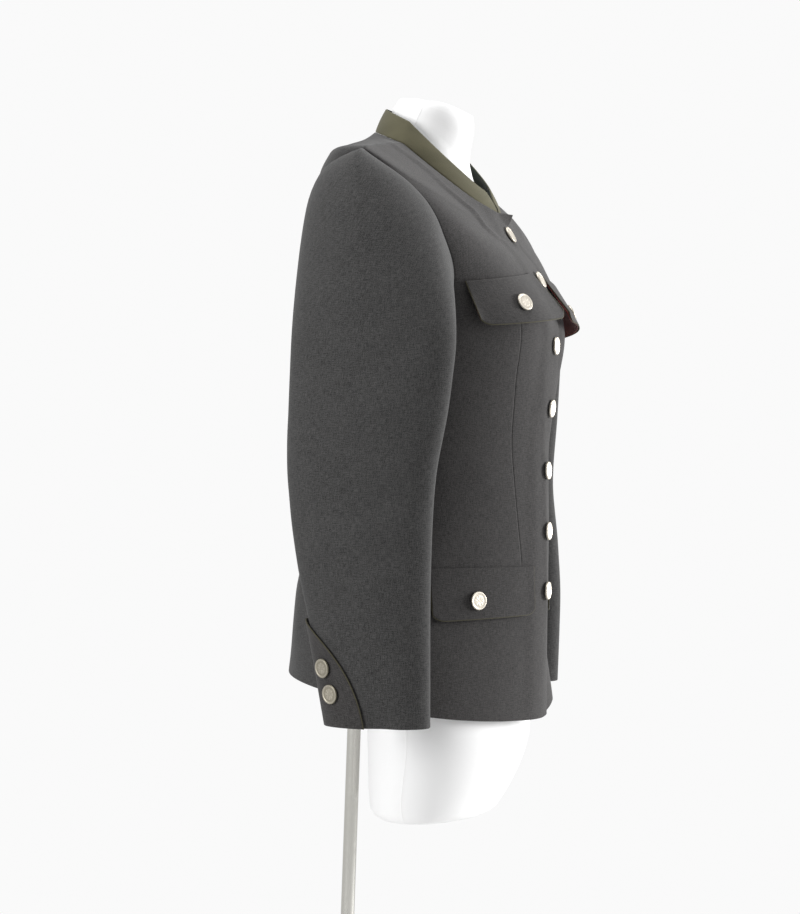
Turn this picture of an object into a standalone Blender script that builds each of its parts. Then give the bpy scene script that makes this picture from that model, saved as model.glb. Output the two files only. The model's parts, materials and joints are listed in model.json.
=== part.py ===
"""A women's trachten jacket worn by a limbless dress form on a stand.

The jacket faces -Y, the wearer's right side is -X and +Z is up. Everything is in metres, and the
origin is the middle of the base plate's underside. Each cloth piece is a thin wall: a grid of
points on the garment's surface, with a second grid one cloth thickness inside it.

A place on the jacket's body is a turn and a rise: the turn is 0 at the centre front, 1 at the side
and 2 at the centre back, and the rise goes from the hem up the side seam and along the shoulder.
"""

import math

import bpy
import numpy as np

CLOTH = 0.0020  # wool with its lining behind it
FLAP_CLOTH = 0.0016  # a pocket flap's or cuff tab's upper layer
FLAP_LINING = 0.0010
SEAM = 0.0003  # air between two pieces that are sewn or laid together
STEP = 0.0005  # the small step that slopes are measured over
SEAM_TURN = 0.010  # the turn over which normals are evened out, so that they agree across a seam
TRIES = 40  # rounds of search for the place of a point
DAMPING = 0.7  # the part of each correction that a round takes
RIGHT = -1  # the wearer's right, which is -X
LEFT = 1

# The body of the jacket, from hem to neckline: one row for each ring round the wearer.
# side, front and back are the ring's far points. prow and flank round its front quarter, haunch and
# seat its back one: 0.55 is an ellipse, and less is pointed. With slope 0 the ring is level at its
# side, and with 0.55 it falls evenly from the back over the side to the front.
JACKET = np.array([
    # rise side_x side_y  side_z front_y front_z back_y back_z prow flank haunch seat  slope
    (0.000, 0.188, -0.015, 0.796, -0.167, 0.761, 0.113, 0.815, 0.30, 0.50, 0.55, 0.60, 0.75),  # hem
    (0.115, 0.183, -0.015, 0.900, -0.170, 0.900, 0.105, 0.900, 0.28, 0.48, 0.55, 0.58, 0.00),  # hip
    (0.185, 0.174, -0.020, 0.970, -0.171, 0.970, 0.086, 0.970, 0.32, 0.48, 0.55, 0.58, 0.00),
    (0.265, 0.163, -0.030, 1.050, -0.170, 1.050, 0.063, 1.050, 0.38, 0.50, 0.55, 0.58, 0.00),  # waist
    (0.335, 0.169, -0.040, 1.120, -0.177, 1.120, 0.068, 1.120, 0.41, 0.52, 0.55, 0.58, 0.00),  # ribs
    (0.395, 0.179, -0.045, 1.180, -0.180, 1.180, 0.078, 1.180, 0.48, 0.55, 0.55, 0.64, 0.00),  # bust
    (0.455, 0.181, -0.045, 1.240, -0.171, 1.225, 0.082, 1.260, 0.60, 0.55, 0.55, 0.70, 0.00),  # chest
    (0.515, 0.188, -0.040, 1.305, -0.153, 1.262, 0.076, 1.318, 0.66, 0.54, 0.60, 0.74, 0.10),  # armhole
    (0.565, 0.193, -0.033, 1.355, -0.135, 1.285, 0.062, 1.364, 0.62, 0.52, 0.65, 0.66, 0.28),
    (0.590, 0.192, -0.029, 1.373, -0.127, 1.298, 0.051, 1.380, 0.58, 0.50, 0.65, 0.58, 0.38),
    (0.625, 0.155, -0.029, 1.382, -0.123, 1.307, 0.041, 1.394, 0.55, 0.48, 0.60, 0.55, 0.45),  # shoulder
    (0.665, 0.115, -0.030, 1.389, -0.120, 1.314, 0.031, 1.405, 0.55, 0.50, 0.55, 0.52, 0.52),
    (0.705, 0.076, -0.032, 1.394, -0.117, 1.322, 0.024, 1.418, 0.55, 0.55, 0.55, 0.50, 0.55),  # neckline
])
SHOULDER_END = 0.590
NECKLINE = 0.705
RISE_START = 0.785  # a rise is about the height above this
MIDDLE_Y = -0.045  # the wearer's middle, between front and back

BUST_X = 0.080
BUST_Z = 1.185
BUST_RISE = 0.007  # how far the fronts stand forward of the plain ring at the bust
BUST_WIDE = 0.050
BUST_TALL = 0.060
BUST_REACH = 0.060  # the depth over which that rise grows from the wearer's middle

# The armhole seen from the side, from the shoulder seam round the front to the underarm and up the
# back. share is the way round it.
ARMHOLE = np.array([
    # share  y       z
    (0.000, -0.029, 1.373),  # shoulder seam
    (0.120, -0.077, 1.334),
    (0.180, -0.094, 1.312),
    (0.230, -0.104, 1.290),
    (0.340, -0.116, 1.240),
    (0.430, -0.110, 1.196),
    (0.500, -0.083, 1.176),
    (0.570, -0.045, 1.172),  # underarm
    (0.650, -0.003, 1.184),
    (0.730, 0.034, 1.222),
    (0.820, 0.046, 1.270),
    (0.910, 0.036, 1.328),
    (0.960, 0.014, 1.357),
    (1.000, -0.029, 1.373),
])
UNDERARM = 0.570
FRONT_GUESS = 0.62  # turns that the search for the armhole's points starts from
BACK_GUESS = 1.42

# Each sleeve below the armhole, one row for each level down to the cuff. The left one hangs a
# little further back.
SLEEVES = {
    RIGHT: np.array([
        # drop  centre_x centre_y half_x half_y
        (0.000, 0.2230, -0.0500, 0.0380, 0.0895),
        (0.050, 0.2280, -0.0475, 0.0370, 0.0870),
        (0.120, 0.2350, -0.0430, 0.0360, 0.0805),
        (0.210, 0.2420, -0.0485, 0.0340, 0.0720),
        (0.270, 0.2430, -0.0550, 0.0320, 0.0650),
        (0.310, 0.2430, -0.0590, 0.0300, 0.0610),
        (0.374, 0.2430, -0.0650, 0.0280, 0.0550),
    ]),
    LEFT: np.array([
        # drop  centre_x centre_y half_x half_y
        (0.000, 0.2230, -0.0410, 0.0380, 0.0840),
        (0.050, 0.2280, -0.0390, 0.0370, 0.0815),
        (0.120, 0.2350, -0.0370, 0.0360, 0.0760),
        (0.210, 0.2420, -0.0465, 0.0340, 0.0710),
        (0.270, 0.2430, -0.0550, 0.0320, 0.0650),
        (0.310, 0.2430, -0.0580, 0.0300, 0.0610),
        (0.374, 0.2430, -0.0620, 0.0280, 0.0545),
    ]),
}
SLEEVE_TOP_Z = 1.150
SLEEVE_DROP = 0.374
SLEEVE_STEP = 0.010  # the stretch that gives the sleeve's way down
SLEEVE_LEVELS = (0.0, 0.03, 0.065, 0.105, 0.15, 0.20, 0.25, 0.295, 0.33, 0.355, SLEEVE_DROP)
HEAD_ROWS = 8  # rows between the armhole and the hanging sleeve
HEAD_OUT = 0.35  # how the sleeve sets off from the armhole: along the cloth's normal,
HEAD_ASIDE = 0.90  # away from the body
HEAD_DOWN = 0.75  # and, at the underarm, down
HEAD_PULL = 0.75  # how long it keeps that way
ARM_SEAM = 0.0006  # half the gap between the upper and under sleeve, as a share of the way round
FOLD_DEPTH = 0.005  # the soft valley up the outside of each cuff
FOLD_ANGLE = math.radians(12)
FOLD_WIDTH = math.radians(16)
FOLD_HEIGHT = 0.055

# The dress form, in the same terms as the jacket's body. Its shoulders carry the jacket.
FORM = np.array([
    # rise side_x side_y  side_z front_y front_z back_y back_z prow flank haunch seat  slope
    (0.000, 0.060, -0.044, 0.651, -0.078, 0.651, -0.009, 0.651, 0.55, 0.55, 0.55, 0.55, 0.00),  # underside
    (0.015, 0.103, -0.044, 0.652, -0.101, 0.652, 0.014, 0.652, 0.55, 0.55, 0.55, 0.55, 0.00),
    (0.030, 0.114, -0.044, 0.662, -0.111, 0.662, 0.024, 0.662, 0.55, 0.55, 0.55, 0.55, 0.00),
    (0.120, 0.140, -0.058, 0.750, -0.145, 0.750, 0.024, 0.750, 0.50, 0.55, 0.55, 0.55, 0.00),
    (0.220, 0.148, -0.054, 0.850, -0.145, 0.850, 0.031, 0.850, 0.48, 0.52, 0.55, 0.55, 0.00),  # hip
    (0.320, 0.136, -0.052, 0.950, -0.136, 0.950, 0.029, 0.950, 0.50, 0.55, 0.55, 0.55, 0.00),
    (0.420, 0.125, -0.052, 1.050, -0.134, 1.050, 0.024, 1.050, 0.52, 0.55, 0.55, 0.55, 0.00),  # waist
    (0.490, 0.136, -0.050, 1.120, -0.144, 1.120, 0.040, 1.120, 0.55, 0.55, 0.55, 0.55, 0.00),
    (0.550, 0.148, -0.047, 1.175, -0.154, 1.175, 0.056, 1.180, 0.55, 0.55, 0.55, 0.55, 0.00),  # bust
    (0.610, 0.152, -0.044, 1.235, -0.148, 1.220, 0.062, 1.250, 0.55, 0.55, 0.55, 0.55, 0.00),
    (0.665, 0.154, -0.038, 1.290, -0.134, 1.252, 0.056, 1.305, 0.55, 0.55, 0.55, 0.60, 0.00),
    (0.715, 0.156, -0.032, 1.338, -0.124, 1.276, 0.044, 1.350, 0.55, 0.52, 0.55, 0.60, 0.15),
    (0.740, 0.153, -0.029, 1.363, -0.119, 1.288, 0.036, 1.367, 0.55, 0.50, 0.55, 0.58, 0.30),
    (0.765, 0.141, -0.029, 1.3810, -0.1165, 1.297, 0.031, 1.382, 0.55, 0.48, 0.55, 0.55, 0.42),  # shoulder
    (0.795, 0.115, -0.030, 1.3850, -0.1140, 1.304, 0.024, 1.3960, 0.55, 0.50, 0.55, 0.52, 0.52),
    (0.834, 0.080, -0.032, 1.3880, -0.1100, 1.3110, 0.0160, 1.4070, 0.55, 0.55, 0.55, 0.50, 0.55),
    (0.860, 0.056, -0.034, 1.3945, -0.0960, 1.3300, 0.0080, 1.4200, 0.55, 0.55, 0.55, 0.50, 0.50),  # neck
    (0.890, 0.049, -0.036, 1.4200, -0.0800, 1.3800, 0.0060, 1.4420, 0.55, 0.55, 0.55, 0.55, 0.15),
    (0.930, 0.046, -0.043, 1.4380, -0.0855, 1.4200, 0.0000, 1.4520, 0.55, 0.55, 0.55, 0.55, 0.00),
    (0.945, 0.043, -0.044, 1.4450, -0.0845, 1.4330, -0.0040, 1.4560, 0.55, 0.55, 0.55, 0.55, 0.00),
    (0.960, 0.020, -0.045, 1.4480, -0.0640, 1.4430, -0.0250, 1.4550, 0.55, 0.55, 0.55, 0.55, 0.00),  # top
])

FORM_SIDES = 28

# The stand collar.
COLLAR_TALL = 0.026  # at the front
COLLAR_MORE = 0.0022  # and this much taller from the side round the back
COLLAR_MORE_START = 0.12  # where it begins to grow
COLLAR_MORE_TURNS = 0.40  # and how many turns it takes
COLLAR_LEAN = math.radians(25)  # how far it leans in towards the neck
# The stretch at each front end over which its top edge rounds down.
COLLAR_ENDS = {RIGHT: 0.013, LEFT: 0.024}
COLLAR_LIFT = 0.0010  # air between the neckline and the collar's lower edge
COLLAR_GAP = 0.004  # between its two ends at the centre front
COLLAR_END_TALL = 0.22  # its height at the very end, as a share of the rest
COLLAR_TURNS = (0, 0.025, 0.06, 0.11, 0.17)  # its columns near each end, from the end

FRONT_OVERLAP = 0.020  # how far each front runs past the centre line
FRONT_STEP = (CLOTH + SEAM) / 2 + 0.0003  # the right front stands out by this, the left one in
FRONT_EASE_START = 0.023  # how far from the centre line that step begins to fade
FRONT_EASE = 0.022  # the width over which it fades
# Below the last button the left front swings forward and up.
SWING = 0.012
SWING_X = 0.065
SWING_WIDE = 0.030
SWING_TALL = 0.090
SWING_UP = 1.0  # the part of it that lifts the hem
# The top corner of the right front, past the centre line, stands forward.
CORNER = 0.013
CORNER_START = -0.006
CORNER_WIDE = 0.026
CORNER_RISE = 0.640
# How far across each front its columns of points stand, and how many a back has.
FRONT_SPREAD = np.array([0, 0.055, 0.11, 0.17, 0.24, 0.33, 0.43, 0.54, 0.66, 0.78, 0.89, 1.0])
BACK_COLUMNS = 10

BUTTON_RADIUS = 0.0100
BUTTON_TALL = 0.0030
BUTTON_FOOT = 0.0086  # the radius of its flat underside
BUTTON_RIM = 0.0097  # the radius of its raised rim
BUTTON_BELLY = 0.0012  # the height at which it is widest
BUTTON_FACE = (0.0080, 0.0026)  # the radius and height of its face, inside the rim
BUTTON_GAP = 0.0005
BUTTON_SIDES = 14
FRONT_BUTTON_HEIGHTS = (1.296, 1.245, 1.173, 1.104, 1.035, 0.968, 0.902)
CUFF_BUTTONS = (
    # height above the cuff's edge, angle round the sleeve
    (0.060, math.radians(314)),
    (0.034, math.radians(320)),
)

# Pocket flaps as the front view gives them: each corner is how far across from the centre line, and
# its height. The button's place is a share of the way across and down, and the lifts say how far
# the two lower corners stand off the front.
CHEST_FLAP = {"top_inner": (0.028, 1.250), "top_outer": (0.144, 1.235),
              "low_inner": (0.017, 1.199), "low_outer": (0.134, 1.189),
              "button": (0.57, 0.60), "lift_inner": 0.017, "lift_outer": 0.012}
HIP_FLAP = {"top_inner": (0.030, 0.930), "top_outer": (0.148, 0.932),
            "low_inner": (0.030, 0.878), "low_outer": (0.148, 0.876),
            "button": (0.64, 0.64), "lift_inner": 0.0030, "lift_outer": 0.0030}
FLAP_CORNER = 0.10  # the share of a flap's width over which its lower corners round
FLAP_ROUND = 0.16  # how much shorter the flap is at its sides, as a share of its height
FLAP_SEAT = 0.0007  # how far its sewn edge stands off the front
FLAP_CURL = 1.3  # over 1, the flap leaves the front slowly and then faster
NEAR_ACROSS = 0.08  # how far from its middle a flap's button lies on the cloth
NEAR_DOWN = 0.20
FLAP_COLUMNS = (0, 0.02, 0.06, 0.13, 0.30, 0.50, 0.70, 0.87, 0.94, 0.98, 1)
FLAP_ROWS = 4

# The curved tab that lies over each cuff's vent.
TAB_TALL = 0.108
TAB_BACK = math.radians(256)
TAB_SPAN = math.radians(98)
TAB_CLOSE = 0.96  # 1 would bring its top to a point
TAB_LIFT = 0.0018
TAB_ROWS = (0, 0.17, 0.34, 0.51, 0.68, 0.82, 0.92, 1.0)  # shares of its height
TAB_COLUMNS = 8

# The stand.
POLE_RADIUS = 0.0078
POLE_LOW = (0.0, 0.0837, 0.0083)
POLE_TOP = (0.0, 0.0500, 0.9000)
POLE_SIDES = 16
BRACKET_LOW = 0.855
BRACKET_HIGH = 0.895
BRACKET_WIDE = 0.034
BRACKET_ARC_STEPS = 8
BASE_RADIUS = 0.170
BASE_TALL = 0.008
BASE_BEVEL = 0.002
BASE_SIDES = 40

# Colour, roughness and metallic value of each finish.
FINISHES = {
    "wool": ((0.060, 0.058, 0.057, 1), 0.95, 0.0),
    "olive": ((0.120, 0.115, 0.078, 1), 0.90, 0.0),
    "lining": ((0.045, 0.013, 0.012, 1), 0.60, 0.0),
    "pewter": ((0.55, 0.52, 0.46, 1), 0.35, 1.0),
    "form": ((0.86, 0.86, 0.86, 1), 0.60, 0.0),
    "chrome": ((0.60, 0.60, 0.58, 1), 0.15, 1.0),
}


def end_slopes(keys, values):
    """Slopes for a smooth curve through a table that never overshoots its rows."""
    gaps = np.diff(keys)[:, None]
    rates = np.diff(values, axis=0) / gaps
    slopes = np.zeros_like(values)
    slopes[0] = rates[0]
    slopes[-1] = rates[-1]
    before = rates[:-1]
    after = rates[1:]
    same_way = before * after > 0
    weight_before = 2 * gaps[1:] + gaps[:-1]
    weight_after = gaps[1:] + 2 * gaps[:-1]
    safe_before = np.where(same_way, before, 1.0)
    safe_after = np.where(same_way, after, 1.0)
    mean = (weight_before + weight_after) / (weight_before / safe_before + weight_after / safe_after)
    slopes[1:-1] = np.where(same_way, mean, 0.0)
    return slopes


def read_table(table, at):
    """The table's other columns at each value of its first one."""
    keys = table[:, 0]
    values = table[:, 1:]
    slopes = end_slopes(keys, values)
    at = np.asarray(at, dtype=float)
    row = np.clip(np.searchsorted(keys, at, side="right") - 1, 0, len(keys) - 2)
    gap = (keys[row + 1] - keys[row])[..., None]
    s = ((at - keys[row]) / gap[..., 0])[..., None]
    start = (2 * s**3 - 3 * s**2 + 1) * values[row] + (s**3 - 2 * s**2 + s) * gap * slopes[row]
    end = (3 * s**2 - 2 * s**3) * values[row + 1] + (s**3 - s**2) * gap * slopes[row + 1]
    return np.moveaxis(start + end, -1, 0)


def ring_point(table, turn, rise):
    """A point on the left half of a body; a turn below 0 is past the centre front."""
    turn = np.asarray(turn, dtype=float)
    rise = np.asarray(rise, dtype=float)
    columns = read_table(table, rise)
    side_x, side_y, side_z, front_y, front_z, back_y, back_z, prow, flank, haunch, seat, slope = columns
    t = np.clip(np.abs(turn), 0, 1)
    k = 1 - t
    near = k**3 + 3 * k**2 * t
    front_width = side_x * (3 * k**2 * t * prow + 3 * k * t**2 + t**3)
    front_depth = side_y + (front_y - side_y) * (near + 3 * k * t**2 * flank)
    h = np.clip(turn, 0, 1)  # past the centre front the height stays level
    g = 1 - h
    front_height = side_z + (front_z - side_z) * (g**3 + 3 * g**2 * h + 3 * g * h**2 * slope)
    b = np.clip(turn - 1, 0, 1)
    c = 1 - b
    back_width = side_x * (c**3 + 3 * c**2 * b + 3 * c * b**2 * seat)
    back_depth = side_y + (back_y - side_y) * (3 * c**2 * b * haunch + 3 * c * b**2 + b**3)
    back_height = side_z + (back_z - side_z) * (3 * b**2 - 2 * b**3 + 3 * c**2 * b * slope)
    is_front = turn <= 1
    x = np.where(is_front, front_width * np.sign(turn), back_width)
    y = np.where(is_front, front_depth, back_depth)
    z = np.where(is_front, front_height, back_height)
    return np.stack([x, y, z], axis=-1)


def body_point(turn, rise):
    """A point on the outside of the jacket's left half."""
    point = ring_point(JACKET, turn, rise)
    across = (np.abs(point[..., 0]) - BUST_X) / BUST_WIDE
    up = (point[..., 2] - BUST_Z) / BUST_TALL
    reach = np.clip((MIDDLE_Y - point[..., 1]) / BUST_REACH, 0, 1)
    point[..., 1] -= reach * BUST_RISE * np.exp(-across**2 - up**2)
    return point


def outward(surface, first, second, reach=STEP):
    """Unit normals of a surface that is a function of two values."""
    along = surface(first + reach, second) - surface(first - reach, second)
    up = surface(first, second + STEP) - surface(first, second - STEP)
    normal = np.cross(along, up)
    return normal / np.linalg.norm(normal, axis=-1, keepdims=True)


def body_normal(turn, rise):
    turn = np.clip(turn, -1, 2 - 2 * STEP)
    return outward(body_point, turn, rise, SEAM_TURN)


def find_place(target, columns, turn, rise):
    """The turn and rise where two of a body point's coordinates have the target's values."""
    for _ in range(TRIES):
        miss = body_point(turn, rise)[columns] - target
        by_turn = (body_point(turn + STEP, rise) - body_point(turn - STEP, rise))[columns] / (2 * STEP)
        by_rise = (body_point(turn, rise + STEP) - body_point(turn, rise - STEP))[columns] / (2 * STEP)
        scale = by_turn[0] * by_rise[1] - by_turn[1] * by_rise[0]
        turn -= DAMPING * (miss[0] * by_rise[1] - miss[1] * by_rise[0]) / scale
        rise -= DAMPING * (by_turn[0] * miss[1] - by_turn[1] * miss[0]) / scale
    return turn, rise


def front_place(across, height):
    """The turn and rise of the spot that the front view gives."""
    return find_place(np.array([across, height]), [0, 2], 5 * across, height - RISE_START)


def rise_at(height, turn):
    """The rise of the point at this height and turn."""
    rise = height - RISE_START
    for _ in range(TRIES):
        rise = rise + DAMPING * (height - body_point(turn, rise)[2])
    return rise


def turn_at(across, rise):
    """The turn near the centre front where a ring is this far across."""
    turn = np.zeros_like(rise)
    for _ in range(TRIES):
        miss = body_point(turn, rise)[..., 0] - across
        slope = (body_point(turn + STEP, rise) - body_point(turn - STEP, rise))[..., 0] / (2 * STEP)
        turn = turn - miss / slope
    return turn


def aside(turn, rise, distance):
    """The turn that lies a distance further round at the same rise."""
    here = np.minimum(turn, 2 - STEP)
    reach = body_point(here, rise) - body_point(here - STEP, rise)
    return turn + distance * STEP / np.linalg.norm(reach, axis=-1)


def armhole_place(share):
    """The turn and rise of one point of the armhole."""
    y, z = read_table(ARMHOLE, share)
    if share <= 0 or share >= 1:
        return 1.0, SHOULDER_END
    if abs(share - UNDERARM) < 1e-6:
        return 1.0, rise_at(z, 1.0)
    guess = FRONT_GUESS if share < UNDERARM else BACK_GUESS
    turn, rise = find_place(np.array([y, z]), [1, 2], guess, z - RISE_START)
    return float(turn), float(rise)


FRONT_SHARES = np.linspace(UNDERARM, 0, 11)
BACK_SHARES = np.linspace(UNDERARM, 1, 9)
FRONT_ARMHOLE = [armhole_place(share) for share in FRONT_SHARES]
BACK_ARMHOLE = [armhole_place(share) for share in BACK_SHARES]
UNDERARM_RISE = FRONT_ARMHOLE[0][1]
SIDE_RISES = np.linspace(0, UNDERARM_RISE, 12)
SHOULDER_RISES = np.linspace(SHOULDER_END, NECKLINE, 5)


def outer_edge(armhole, gap):
    """A panel's outer edge: up the side seam, round its half of the armhole, along the shoulder."""
    side = [(float(aside(np.float64(1), rise, gap)), rise) for rise in SIDE_RISES]
    shoulder = [(float(aside(np.float64(1), rise, gap)), rise) for rise in SHOULDER_RISES]
    return np.array(side + list(armhole[1:-1]) + shoulder)


def centre_rises(armhole):
    """The rises along a panel's centre edge, one for each row."""
    arm_rows = np.linspace(UNDERARM_RISE, SHOULDER_END, len(armhole))
    return np.concatenate([SIDE_RISES[:-1], arm_rows, SHOULDER_RISES[1:]])


def wall(name, outer, inner, finish, side):
    """A closed thin wall between two grids of points, mirrored for the right side."""
    rows, columns = outer.shape[:2]
    points = np.concatenate([outer.reshape(-1, 3), inner.reshape(-1, 3)])
    points[:, 0] *= side
    faces = []
    inside = rows * columns
    for row in range(rows - 1):
        for column in range(columns - 1):
            corner = row * columns + column
            across = corner + columns + 1
            faces.append((corner, corner + 1, across))
            faces.append((corner, across, corner + columns))
            faces.append((inside + corner, inside + across, inside + corner + 1))
            faces.append((inside + corner, inside + corner + columns, inside + across))
    rim = list(range(columns))
    rim += [row * columns + columns - 1 for row in range(1, rows)]
    rim += [(rows - 1) * columns + column for column in range(columns - 2, -1, -1)]
    rim += [row * columns for row in range(rows - 2, 0, -1)]
    for start, end in zip(rim, rim[1:] + rim[:1]):
        faces.append((start, inside + start, inside + end, end))
    if side == RIGHT:
        faces = [tuple(reversed(face)) for face in faces]
    return add_object(name, points, faces, finish)


def add_object(name, points, faces, finish):
    mesh = bpy.data.meshes.new(name)
    mesh.from_pydata([tuple(point) for point in points], [], faces)
    mesh.shade_smooth()
    mesh.set_sharp_from_angle(angle=math.radians(40))
    mesh.validate()
    obj = bpy.data.objects.new(name, mesh)
    bpy.context.scene.collection.objects.link(obj)
    colour, roughness, metallic = FINISHES[finish]
    material = bpy.data.materials.new(name)
    material.use_nodes = True
    shader = material.node_tree.nodes["Principled BSDF"]
    shader.inputs["Base Color"].default_value = colour
    shader.inputs["Roughness"].default_value = roughness
    shader.inputs["Metallic"].default_value = metallic
    material.diffuse_color = colour
    mesh.materials.append(material)
    return obj


def front_lift(side, across):
    """How far a front stands out where the two overlap; across is measured on its own side."""
    fade = np.clip((np.abs(across) - FRONT_EASE_START) / FRONT_EASE, 0, 1)
    ease = 1 - fade**2 * (3 - 2 * fade)
    return ease * (FRONT_STEP if side == RIGHT else -FRONT_STEP)


def front_surface(side, turn, rise):
    """Points and normals on a front's outside, with its step at the overlap."""
    point = body_point(turn, rise)
    normal = body_normal(turn, rise)
    from_middle = (side * point[..., 0] - SWING_X) / SWING_WIDE
    low = np.clip(1 - rise / SWING_TALL, 0, 1)
    swing = SWING * low * (2 - low) * low * np.exp(-from_middle**2)
    stepped = point + normal * (front_lift(side, point[..., 0]) + swing)[..., None]
    stepped[..., 2] += swing * SWING_UP
    if side == RIGHT:
        past = np.clip((-point[..., 0] - CORNER_START) / CORNER_WIDE, 0, 1)
        high = np.clip((rise - CORNER_RISE) / (NECKLINE - CORNER_RISE), 0, 1)
        stepped[..., 1] -= CORNER * past**2 * high
    return stepped, normal


def make_front(side, name):
    edge = outer_edge(FRONT_ARMHOLE, -SEAM / 2)
    rises = centre_rises(FRONT_ARMHOLE)
    starts = turn_at(np.full(len(rises), -FRONT_OVERLAP), rises)
    turns = starts[:, None] + (edge[:, 0] - starts)[:, None] * FRONT_SPREAD
    heights = rises[:, None] + (edge[:, 1] - rises)[:, None] * FRONT_SPREAD
    outer, normal = front_surface(side, turns, heights)
    wall(name, outer, outer - normal * CLOTH, "wool", side)


def make_back(side, name):
    edge = outer_edge(BACK_ARMHOLE, SEAM / 2)
    rises = centre_rises(BACK_ARMHOLE)
    ends = aside(np.full(len(rises), 2.0), rises, -SEAM / 2)
    spread = np.linspace(0, 1, BACK_COLUMNS)
    turns = edge[:, 0][:, None] + (ends - edge[:, 0])[:, None] * spread
    heights = edge[:, 1][:, None] + (rises - edge[:, 1])[:, None] * spread
    outer = body_point(turns, heights)
    normal = body_normal(turns, heights)
    wall(name, outer, outer - normal * CLOTH, "wool", side)


def sleeve_angle(share):
    """The angle round the hanging sleeve: 0 faces out, a half turn faces the body."""
    share = share % 1
    front = 180 * share / UNDERARM
    back = 180 + 180 * (share - UNDERARM) / (1 - UNDERARM)
    return np.radians(np.where(share <= UNDERARM, front, back))


def hanging_point(side, angle, drop):
    """A point on a sleeve below the armhole, as if it were the left one."""
    columns = read_table(SLEEVES[side], np.clip(drop, 0, SLEEVE_DROP + SLEEVE_STEP))
    centre_x, centre_y, half_x, half_y = columns
    turn = (angle - FOLD_ANGLE + math.pi) % (2 * math.pi) - math.pi
    low = np.clip(1 - (SLEEVE_DROP - drop) / FOLD_HEIGHT, 0, 1)
    valley = FOLD_DEPTH * low**2 * np.exp(-(turn / FOLD_WIDTH) ** 2)
    x = centre_x + (half_x - valley) * np.cos(angle)
    y = centre_y - half_y * np.sin(angle)
    return np.stack([x, y, SLEEVE_TOP_Z - drop + 0 * x], axis=-1)


def armhole_start(share):
    """Where the sleeve begins and the way it sets off."""
    places = np.array([armhole_place(one) for one in np.ravel(share % 1)])
    turn = places[:, 0].reshape(share.shape)
    rise = places[:, 1].reshape(share.shape)
    point = body_point(turn, rise)
    normal = body_normal(turn, rise)
    under = np.clip(np.cos(sleeve_angle(share) - math.pi), 0, 1)
    away = np.stack([HEAD_ASIDE + 0 * under, 0 * under, -HEAD_DOWN * under], axis=-1)
    heading = normal * HEAD_OUT + away
    heading /= np.linalg.norm(heading, axis=-1, keepdims=True)
    return point + heading * 2 * SEAM, heading


def sleeve_grid(side, shares):
    """Points of the sleeve's outside, from the armhole down to the cuff."""
    start, heading = armhole_start(shares)
    angle = sleeve_angle(shares)
    end = hanging_point(side, angle, np.zeros_like(shares))
    reach = np.linalg.norm(end - start, axis=-1, keepdims=True)
    below = hanging_point(side, angle, np.full_like(shares, SLEEVE_STEP))
    way_down = (below - end) / np.linalg.norm(below - end, axis=-1, keepdims=True)
    rows = []
    for w in np.linspace(0, 1, HEAD_ROWS + 1)[:-1]:
        above = (2 * w**3 - 3 * w**2 + 1) * start + (w**3 - 2 * w**2 + w) * reach * HEAD_PULL * heading
        lower = (3 * w**2 - 2 * w**3) * end + (w**3 - w**2) * reach * way_down
        rows.append(above + lower)
    for drop in SLEEVE_LEVELS:
        rows.append(hanging_point(side, angle, np.full_like(shares, drop)))
    return np.array(rows[::-1])


def grid_normals(grid):
    """Unit normals of a grid of points, with its rows going up and its columns round."""
    up = np.gradient(grid, axis=0)
    along = np.gradient(grid, axis=1)
    normal = np.cross(along, up)
    return normal / np.linalg.norm(normal, axis=-1, keepdims=True)


def make_sleeve(side, name, shares):
    """One panel of a sleeve, between two seams."""
    edge = shares.copy()
    edge[0] += ARM_SEAM
    edge[-1] -= ARM_SEAM
    outer = sleeve_grid(side, edge)[:, ::-1]
    along = (sleeve_grid(side, edge - ARM_SEAM) - sleeve_grid(side, edge + ARM_SEAM))[:, ::-1]
    normal = np.cross(along, np.gradient(outer, axis=0))
    normal /= np.linalg.norm(normal, axis=-1, keepdims=True)
    wall(name, outer, outer - normal * CLOTH, "wool", side)


def collar_rows(turns, share_up, side):
    """Points up the collar's left half, with that side's end; share_up is 1 at the top edge."""
    base = body_point(turns, np.full_like(turns, NECKLINE))
    middle = np.array([0, MIDDLE_Y, 0])
    inward = middle - base
    inward[..., 2] = 0
    inward /= np.linalg.norm(inward, axis=-1, keepdims=True)
    up = inward * math.sin(COLLAR_LEAN) + np.array([0, 0, math.cos(COLLAR_LEAN)])
    from_end = np.abs(base[..., 0])
    past = np.clip((from_end - COLLAR_GAP / 2) / COLLAR_ENDS[side], 0, 1)
    rounded = COLLAR_END_TALL + (1 - COLLAR_END_TALL) * np.sqrt(1 - (1 - past) ** 2)
    tall = np.where(base[..., 1] < MIDDLE_Y, rounded, 1.0)
    grown = np.clip((turns - COLLAR_MORE_START) / COLLAR_MORE_TURNS, 0, 1)
    tall = tall * (COLLAR_TALL + COLLAR_MORE * grown**2 * (3 - 2 * grown))
    return base + up * (COLLAR_LIFT + tall * share_up)[..., None]


def make_collar():
    """The collar runs from the right front end round the back to the left one."""
    first = float(turn_at(np.array([COLLAR_GAP / 2]), np.array([NECKLINE]))[0])
    left = np.concatenate([first + np.array(COLLAR_TURNS), np.linspace(0.26, 2, 12)])
    grids = []
    for share_up in (0, 0.5, 1):
        height = np.full_like(left, share_up)
        right_half = collar_rows(left[:-1], height[:-1], RIGHT) * np.array([-1, 1, 1])
        grids.append(np.concatenate([right_half, collar_rows(left, height, LEFT)[::-1]]))
    outer = np.array(grids)[:, ::-1]
    normal = grid_normals(outer)
    wall("collar", outer, outer - normal * CLOTH, "olive", LEFT)


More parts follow.
